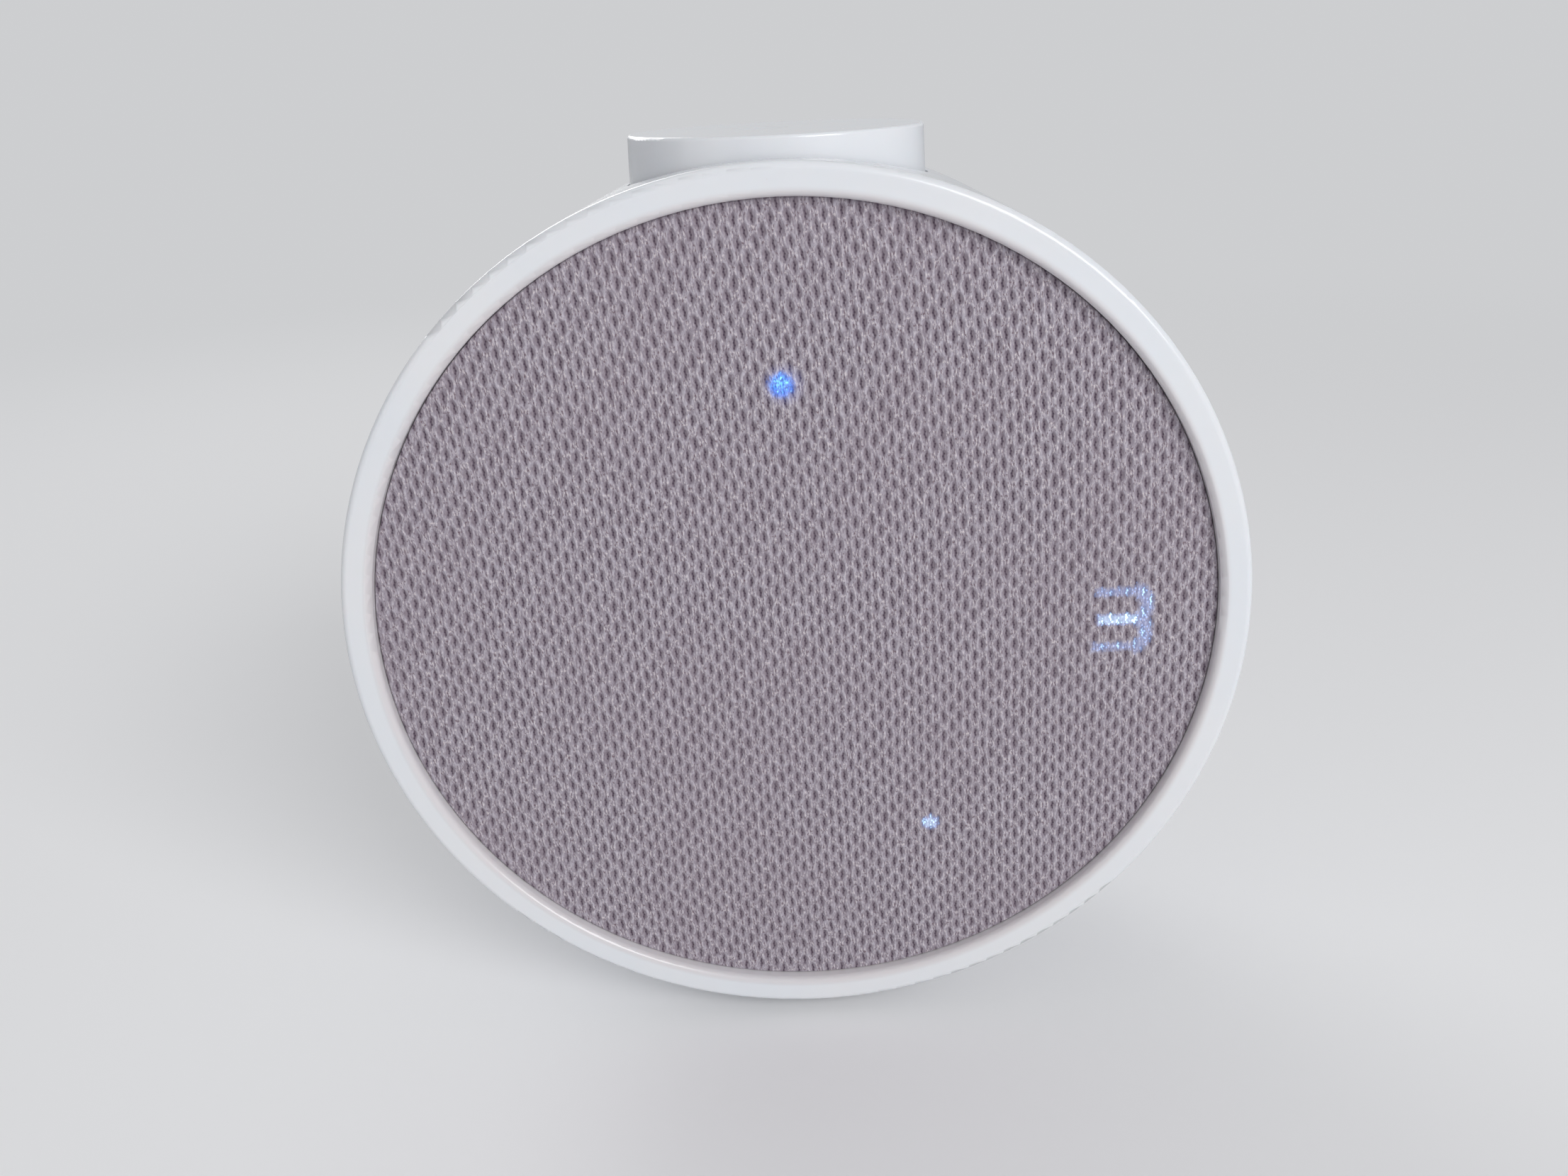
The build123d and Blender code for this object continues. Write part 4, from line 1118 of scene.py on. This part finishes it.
        # threads bend the light, so the shapes' edges are frayed
        x = at.x + (at.fray - 0.5) * 0.9
        z = at.z + (at.strand - 0.5) * 0.9
        first, *others = self.lights.figure()
        figure = first.mask(x, z)
        for stroke in others:
            figure = figure.larger(stroke.mask(x, z))
        spots = figure + self.lights.minute().mask(x, z)
        bright = spots.ramp(0.75, 1.3)
        haze = spots * (at.beads * 0.40 + 0.33) + bright * (at.beads * 0.34 + 0.08)
        sparkle = spots * (at.core * 1.1 + at.hole * at.beads * 0.45 + at.beads * 0.20).smaller(1.0)
        status = self.lights.status().mask(x, z)
        halo = self.lights.status_halo().mask(x, z)
        heart = self.lights.status_heart().mask(x, z)
        glint = status * at.beads * (at.hole * 0.5 + 0.5) * at.loops.ramp(0.35, 0.60)
        glint = (glint + heart * (at.beads * 0.45 + at.loops.ramp(0.38, 0.60) * 0.55)).smaller(1.0)
        shade = status * (at.loops.ramp(0.32, 0.62) * 0.6 + 0.4)
        blue = shader.mix(at.strand.ramp(0.4, 0.6), self.status_deep, self.status_light)
        colour = shader.mix(status.larger(halo).ramp(0.0, 0.25), self.figure_blue, blue)
        colour = shader.mix((sparkle * 1.3 + bright * 0.6).smaller(1.0), colour, self.figure_white)
        strength = haze + sparkle * self.sparkle_power + shade * self.status_power
        return DialGlow(
            tint=status * 0.85 + spots.smaller(0.7) * 0.3,
            colour=shader.mix(glint, colour, self.status_cyan),
            strength=strength + halo * self.halo_power + glint * self.glint_power,
        )

    def build(self) -> bpy.types.Material:
        """Make the material.

        Returns:
            The finish.
        """
        shader = Shader(self.name)
        at = self.stitches(shader)
        glow = self.dial_glow(shader, at)
        hairs = shader.bump(at.strand, self.hair_height, 0.6)
        # painted light: where the dial shines, the yarn turns to the lit blue and the cloth emits light, though it
        # is no lamp
        shader.surface(
            Base_Color=shader.mix(glow.tint, self.yarn_tone(shader, at), self.yarn_lit),
            Roughness=at.strand.ramp(0.2, 0.8, 0.95, 0.82),
            Normal=shader.bump(at.loops, self.loop_height, 0.6, hairs),
            Sheen_Weight=0.18,
            Sheen_Roughness=0.45,
            Specular_IOR_Level=0.25,
            Emission_Color=glow.colour,
            Emission_Strength=glow.strength,
        )
        return shader.material


@dataclass
class Cloth:
    """The knitted face, stretched over its frame and turned back round the rim.

    Sizes are in millimetres, and steps are counted in a column and in a row.
    """

    layout: Layout
    knit: Knit
    lights: DialLights
    edge_round: float = 0.20
    edge_play: float = 0.13
    edge_fade: float = 0.8
    groove_depth: float = 0.07
    steps_across: int = 4
    steps_along: int = 7
    thickness: float = 0.45
    back_gap: float = 0.15
    body: Body = Body.HOUSING

    def relief(self, x: np.ndarray, z: np.ndarray) -> np.ndarray:
        """How far the face lies behind its crests.

        Args:
            x: millimetres to the right of the middle.
            z: millimetres above the middle.

        Returns:
            Millimetres back: the holes' hollows and the short grooves between one hole and the next.
        """
        knit = self.knit
        across, along, swell = knit.lattice(x, z, KnitMaths())
        wide = across * knit.column / knit.hole_width
        tall = along * knit.period / knit.hole_height
        reach = np.sqrt(wide**2 + tall**2) - swell * 0.10
        step = np.clip((1.25 - reach) / 0.85, 0, 1)
        hollow = step * step * (3 - 2 * step)
        groove = np.clip((np.abs(along) - 0.33) / 0.17, 0, 1) * np.clip(1 - np.abs(across) * 5, 0, 1)
        return knit.relief * hollow + self.groove_depth * groove

    def face_mesh(self) -> bmesh.types.BMesh:
        """Grid over the disc, its outer points drawn in to the rim.

        Returns:
            A mesh in millimetres, x to the right, y back and z up from the cloth's middle.
        """
        rim = self.layout.cloth_radius / MM + self.edge_play - self.edge_round
        step_x = self.knit.column / self.steps_across
        step_z = self.knit.period / self.steps_along
        count_x = int(rim / step_x) + 2
        count_z = int(rim / step_z) + 2
        xs = np.arange(-count_x, count_x + 1) * step_x
        zs = np.arange(-count_z, count_z + 1) * step_z
        grid_x, grid_z = np.meshgrid(xs, zs, indexing="ij")
        reach = np.hypot(grid_x, grid_z)
        # points nearer to the rim than a quarter step would make slivers, so they are drawn to it as well
        inside = reach < rim - 0.25 * step_x
        cells = inside[:-1, :-1] | inside[1:, :-1] | inside[:-1, 1:] | inside[1:, 1:]
        pull = np.where(inside, 1.0, rim / np.maximum(reach, 1e-6))
        place_x, place_z = grid_x * pull, grid_z * pull
        fade = np.clip((rim - np.hypot(place_x, place_z)) / self.edge_fade, 0, 1)
        depth = self.relief(place_x, place_z) * fade
        mesh = bmesh.new()
        verts: dict[tuple[int, int], bmesh.types.BMVert] = {}
        for i, j in zip(*np.nonzero(cells)):
            corners = []
            for a, b in ((i, j), (i, j + 1), (i + 1, j + 1), (i + 1, j)):
                if (a, b) not in verts:
                    verts[(a, b)] = mesh.verts.new((place_x[a, b], depth[a, b], place_z[a, b]))
                corners.append(verts[(a, b)])
            mesh.faces.new(corners[::-1])
        return mesh

    def turn_back(self, mesh: bmesh.types.BMesh) -> None:
        """Roll the rim over the frame's edge and close the back.

        Args:
            mesh: the face, whose outer points lie on the rim.
        """
        rim = self.layout.cloth_radius / MM + self.edge_play
        depth = (self.layout.cloth_back - self.layout.cloth_front) / MM
        inner = rim - self.thickness
        hoops = []
        for turn in (math.radians(30), math.radians(60), math.radians(90)):
            hoops.append((rim - self.edge_round * (1 - math.sin(turn)), self.edge_round * (1 - math.cos(turn))))
        hoops += [(rim, depth), (inner, depth), (inner, self.thickness + self.back_gap)]
        edge = [vert for vert in mesh.verts if vert.is_boundary]
        edge.sort(key=lambda vert: math.atan2(vert.co.z, vert.co.x))
        for radius, back in hoops:
            hoop = []
            for vert in edge:
                scale = radius / math.hypot(vert.co.x, vert.co.z)
                hoop.append(mesh.verts.new((vert.co.x * scale, back, vert.co.z * scale)))
            for index in range(len(edge)):
                mesh.faces.new((edge[index], edge[index - 1], hoop[index - 1], hoop[index]))
            edge = hoop
        mesh.faces.new(edge)

    def build(self) -> list[bpy.types.Object]:
        """Returns:
            The cloth.
        """
        mesh = self.face_mesh()
        self.turn_back(mesh)
        bmesh.ops.recalc_face_normals(mesh, faces=mesh.faces)
        finish = KnitCloth("knit_cloth", self.knit, self.lights, self.layout.middle).build()
        piece = add_piece("knit_face", mesh, finish)
        piece.data.transform(Matrix.Translation(self.layout.middle) @ Matrix.Scale(MM, 4))
        piece.data.shade_smooth()
        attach(piece, self.body.value)
        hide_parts("grille_fabric")
        return [piece]


# ---------------------------------------------------------------- rigid parts


@dataclass
class RigidParts:
    """CAD nodes that keep their shape and get a finish."""

    finishes: dict[str, bpy.types.Material]

    def build(self) -> list[bpy.types.Object]:
        """Give each node the finish of its slot.

        Returns:
            The dressed objects.
        """
        slots = {part["node"]: part["material_slot"] for part in frame["record"]["subparts"]}
        dressed = []
        for name, piece in frame["nodes"].items():
            finish = self.finishes.get(slots[name])
            if finish is None:
                continue
            piece.data.materials.clear()
            piece.data.materials.append(finish)
            dressed.append(piece)
        return dressed


@dataclass
class CoilSpring:
    """Coil spring under the button. Sizes are in metres."""

    finish: bpy.types.Material
    node: str = "crown_spring"
    joint: str = "crown_press"
    slot: str = "spring_steel"
    body: Body = Body.HOUSING
    wire: float = 0.0007
    turns: int = 4
    steps: int = 40
    sides: int = 10

    def travel(self) -> float:
        """How far the button goes down."""
        joints = frame["record"]["behaviour"]["joints"]
        return next(max(joint["range_m"]) for joint in joints if joint["name"] == self.joint)

    def coil(self, low: Vector, high: Vector) -> bmesh.types.BMesh:
        """Round wire wound up a helix.

        Args:
            low: lowest corner of the spring's room.
            high: highest corner of the spring's room.

        Returns:
            A closed mesh.
        """
        thick = self.wire / 2
        reach = (high.x - low.x) / 2 - thick
        rise = high.z - low.z - self.wire
        foot = Vector(((low.x + high.x) / 2, (low.y + high.y) / 2, low.z + thick))
        up = Vector((0.0, 0.0, 1.0))
        around = [math.tau * side / self.sides for side in range(self.sides)]
        mesh = bmesh.new()
        rings = []
        for step in range(self.turns * self.steps + 1):
            turn = math.tau * step / self.steps
            out = Vector((math.cos(turn), math.sin(turn), 0.0))
            middle = foot + (out * reach + up * (rise * step / (self.turns * self.steps)))
            points = [middle + (out * math.cos(angle) + up * math.sin(angle)) * thick for angle in around]
            rings.append([mesh.verts.new(point) for point in points])
        for ring, after in zip(rings, rings[1:]):
            for side in range(self.sides):
                beside = (side + 1) % self.sides
                mesh.faces.new((ring[side], ring[beside], after[beside], after[side]))
        for end in (rings[0], rings[-1]):
            mesh.faces.new(end)
        bmesh.ops.recalc_face_normals(mesh, faces=mesh.faces)
        return mesh

    def build(self) -> list[bpy.types.Object]:
        """Make the spring.

        Returns:
            The spring.
        """
        low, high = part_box(self.node)
        piece = add_piece("button_spring", self.coil(low, high), self.finish)
        piece.data.shade_smooth()
        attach(piece, self.body.value)
        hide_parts(self.node)
        keep = 1 - self.travel() / (high.z - low.z)
        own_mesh(piece)
        return [piece]


def finishes(layout: Layout) -> dict[str, bpy.types.Material]:
    """Materials of the rigid parts, by slot.

    Args:
        layout: the places that the finishes follow.

    Returns:
        The material of each slot.
    """
    makers = (
        # the gloss_white moulding's fourth colour is the painted shade on the ring's inner edge
        ShellMoulding("gloss_white", (0.76, 0.785, 0.825), (0.785, 0.795, 0.82), (0.56, 0.475, 0.475), layout),
        MattMoulding("dark_plastic", (0.030, 0.030, 0.034), (0.055, 0.055, 0.060)),
        MouldedResin("frost_film", (0.52, 0.53, 0.56), (0.62, 0.63, 0.65), roughness=0.5),
        CircuitBoard("board_white", (0.74, 0.75, 0.73), (0.66, 0.67, 0.64)),
        CircuitBoard("board_green", (0.018, 0.16, 0.07), (0.03, 0.25, 0.11)),
        MouldedResin("led_package", (0.80, 0.76, 0.52), (0.90, 0.88, 0.74), roughness=0.25),
        DrawnSteel("zinc_steel", (0.56, 0.57, 0.60), (0.46, 0.46, 0.47)),
        MattMoulding("black_steel", (0.020, 0.020, 0.021), (0.045, 0.045, 0.047), grain=3800.0, roughness=0.4),
        DrawnSteel("spring_steel", (0.62, 0.62, 0.64), (0.50, 0.48, 0.46), run=(1.0, 1.0, 3.0), roughness=0.24),
        MattMoulding("ferrite", (0.035, 0.036, 0.040), (0.08, 0.078, 0.075), grain=2600.0, roughness=0.5),
        PressedFibre("cone_pulp", (0.028, 0.028, 0.031), (0.11, 0.11, 0.115)),
        WoundWire("copper_wire", (0.72, 0.33, 0.16), (0.16, 0.06, 0.03)),
        Weave("spider_cloth", (0.62, 0.44, 0.17), (0.26, 0.16, 0.05)),
        Rubber("soft_rubber", (0.022, 0.022, 0.024), (0.05, 0.05, 0.052)),
        Rubber("grey_rubber", (0.25, 0.25, 0.26), (0.38, 0.38, 0.385)),
        Rubber("foam", (0.03, 0.03, 0.031), (0.07, 0.07, 0.07), pores=1500.0, depth=0.00012, roughness=0.85),
        MouldedResin("chip_resin", (0.020, 0.020, 0.022), (0.045, 0.045, 0.048)),
    )
    return {maker.name: maker.build() for maker in makers}


# ---------------------------------------------------------------- studio


@dataclass(frozen=True)
class Lamp:
    """A soft rectangular lamp, aimed at the middle of the cloth. Sizes are in metres and power in watts."""

    name: str
    place: tuple[float, float, float]
    width: float
    height: float
    power: float

    def build(self, target: Vector) -> None:
        """Hang the lamp and aim it.

        Args:
            target: what the lamp points at.
        """
        data = bpy.data.lights.new(self.name, "AREA")
        data.shape = "RECTANGLE"
        data.size, data.size_y = self.width, self.height
        data.energy = self.power
        lamp = bpy.data.objects.new(self.name, data)
        lamp.location = self.place
        lamp.rotation_euler = (target - Vector(self.place)).to_track_quat("-Z", "Y").to_euler()
        bpy.context.scene.collection.objects.link(lamp)


@dataclass
class Studio:
    """Pale floor without an edge in sight, soft lamps and an even sky. Sizes are in metres."""

    floor_radii: tuple[float, ...] = (0.3, 0.8, 1.8, 4.0, 9.0)
    floor_sides: int = 48
    floor_near: float = 0.10
    floor_far: float = 0.70
    floor_grain: float = 900.0
    floor_roughness: float = 0.6
    grain_height: float = 0.00003
    sky: Colour = (0.90, 0.91, 0.93)
    sky_strength: float = 0.41
    pale: float = 0.68
    floor_colour: Colour = (0.80, 0.80, 0.81)
    floor_fleck: Colour = (0.83, 0.83, 0.84)
    floor_seen: Colour = (0.90, 0.90, 0.91)
    lamps: tuple[Lamp, ...] = (
        Lamp("key", (0.55, -0.75, 0.50), 0.55, 0.55, 5.9),
        Lamp("top", (-0.05, 0.05, 0.95), 0.8, 0.6, 0.4),
        Lamp("fill", (-0.75, -0.55, 0.35), 0.7, 0.6, 0.7),
        Lamp("back", (-0.70, 1.30, 0.70), 0.9, 0.8, 6.5),
    )

    def floor_mesh(self) -> bmesh.types.BMesh:
        """Disc of faces in rings round the object.

        Returns:
            The floor's mesh.
        """
        mesh = bmesh.new()
        centre = mesh.verts.new((0.0, 0.0, 0.0))
        turns = [math.tau * step / self.floor_sides for step in range(self.floor_sides)]
        rings = []
        for radius in self.floor_radii:
            rings.append([mesh.verts.new((radius * math.cos(turn), radius * math.sin(turn), 0.0)) for turn in turns])
        for step in range(self.floor_sides):
            after = (step + 1) % self.floor_sides
            mesh.faces.new((centre, rings[0][step], rings[0][after]))
            for inner, outer in zip(rings, rings[1:]):
                mesh.faces.new((inner[step], outer[step], outer[after], inner[after]))
        return mesh

    def floor_finish(self) -> bpy.types.Material:
        """Pale matt floor that the camera sees fade into the sky.

        Returns:
            The finish.
        """
        shader = Shader("floor")
        x, y, _ = shader.along()
        fine = shader.noise(self.floor_grain, 3.0)
        seen = Field(shader, shader.add("ShaderNodeLightPath").outputs["Is Camera Ray"])
        own = shader.mix(fine.ramp(NOISE_LOW, NOISE_HIGH), self.floor_colour, self.floor_fleck)
        shader.surface(
            Base_Color=shader.mix(seen, own, self.floor_seen),
            Roughness=self.floor_roughness,
            Normal=shader.bump(fine, self.grain_height, 0.3),
            Specular_IOR_Level=0.2,
        )
        haze = shader.add("ShaderNodeEmission")
        shader.feed(haze.inputs["Color"], self.sky)
        shader.feed(haze.inputs["Strength"], self.pale)
        blend = shader.add("ShaderNodeMixShader")
        shader.feed(blend.inputs[0], distance(x, y).ramp(self.floor_near, self.floor_far) * seen)
        shader.feed(blend.inputs[1], shader.principled.outputs[0])
        shader.feed(blend.inputs[2], haze.outputs[0])
        shader.feed(shader.tree.nodes["Material Output"].inputs["Surface"], blend.outputs[0])
        return shader.material

    def world(self) -> None:
        """Even sky: what lights the object, and the paler tone that the camera and the gloss see."""
        world = bpy.data.worlds.new("sky")
        world.use_nodes = True
        tree = world.node_tree
        background = tree.nodes["Background"]
        background.inputs["Color"].default_value = (*self.sky, 1.0)
        path = tree.nodes.new("ShaderNodeLightPath")
        seen = path.outputs["Is Camera Ray"]
        for ray in ("Is Glossy Ray", "Is Transmission Ray"):
            larger = tree.nodes.new("ShaderNodeMath")
            larger.operation = Arithmetic.LARGER.value
            tree.links.new(seen, larger.inputs[0])
            tree.links.new(path.outputs[ray], larger.inputs[1])
            seen = larger.outputs[0]
        strength = tree.nodes.new("ShaderNodeMapRange")
        strength.inputs["To Min"].default_value = self.sky_strength
        strength.inputs["To Max"].default_value = self.pale
        tree.links.new(seen, strength.inputs["Value"])
        tree.links.new(strength.outputs["Result"], background.inputs["Strength"])
        bpy.context.scene.world = world

    def build(self, target: Vector) -> None:
        """Set up the floor, the sky and the lamps.

        Args:
            target: what the lamps point at.
        """
        add_piece("floor", self.floor_mesh(), self.floor_finish())
        self.world()
        for lamp in self.lamps:
            lamp.build(target)


@dataclass
class Camera:
    """Camera a hand's breadth away, above and in front of the cloth.

    The place is in radii of the ring's opening from the cloth's middle, the turns are in degrees, and the lens
    and the sensor are in millimetres.
    """

    opening_radius: float = 0.0525
    place: tuple[float, float, float] = (0.0312, -2.7936, 1.2539)
    roll: float = -2.540
    pitch: float = 22.215
    yaw: float = 0.084
    lens: float = 29.449
    sensor: float = 36.0
    nearest: float = 0.005

    def build(self, middle: Vector) -> None:
        """Set up the camera and make it the scene's own.

        Args:
            middle: middle of the cloth's face.
        """
        data = bpy.data.cameras.new("camera")
        data.lens = self.lens
        data.sensor_width = self.sensor
        data.sensor_fit = "HORIZONTAL"
        data.clip_start = self.nearest
        level = Matrix(((1, 0, 0), (0, 0, -1), (0, 1, 0)))
        turn = (
            Matrix.Rotation(math.radians(self.yaw), 3, "Y")
            @ Matrix.Rotation(math.radians(self.pitch), 3, "X")
            @ Matrix.Rotation(math.radians(self.roll), 3, "Z")
        )
        right, down, ahead = (turn @ level).row
        axes = Matrix((right, -down, -ahead)).transposed()
        place = Matrix.Translation(middle + Vector(self.place) * self.opening_radius)
        camera = bpy.data.objects.new("camera", data)
        camera.matrix_world = place @ axes.to_4x4()
        bpy.context.scene.collection.objects.link(camera)
        bpy.context.scene.camera = camera


def main() -> None:
    """Build the sub-assemblies in order and report each piece."""
    logging.basicConfig(level=logging.INFO, format="%(message)s")
    layout = Layout.read()
    Camera().build(layout.middle)
    Studio().build(layout.middle)
    looks = finishes(layout)
    for assembly in (RigidParts(looks), CoilSpring(looks["spring_steel"]), Cloth(layout, Knit(), DialLights())):
        for piece in assembly.build():
            LOG.info("%s: %s, %d faces", type(assembly).__name__, piece.name, len(piece.data.polygons))
    bpy.context.scene.view_settings.view_transform = "Standard"


if __name__ == "__main__":
    main()
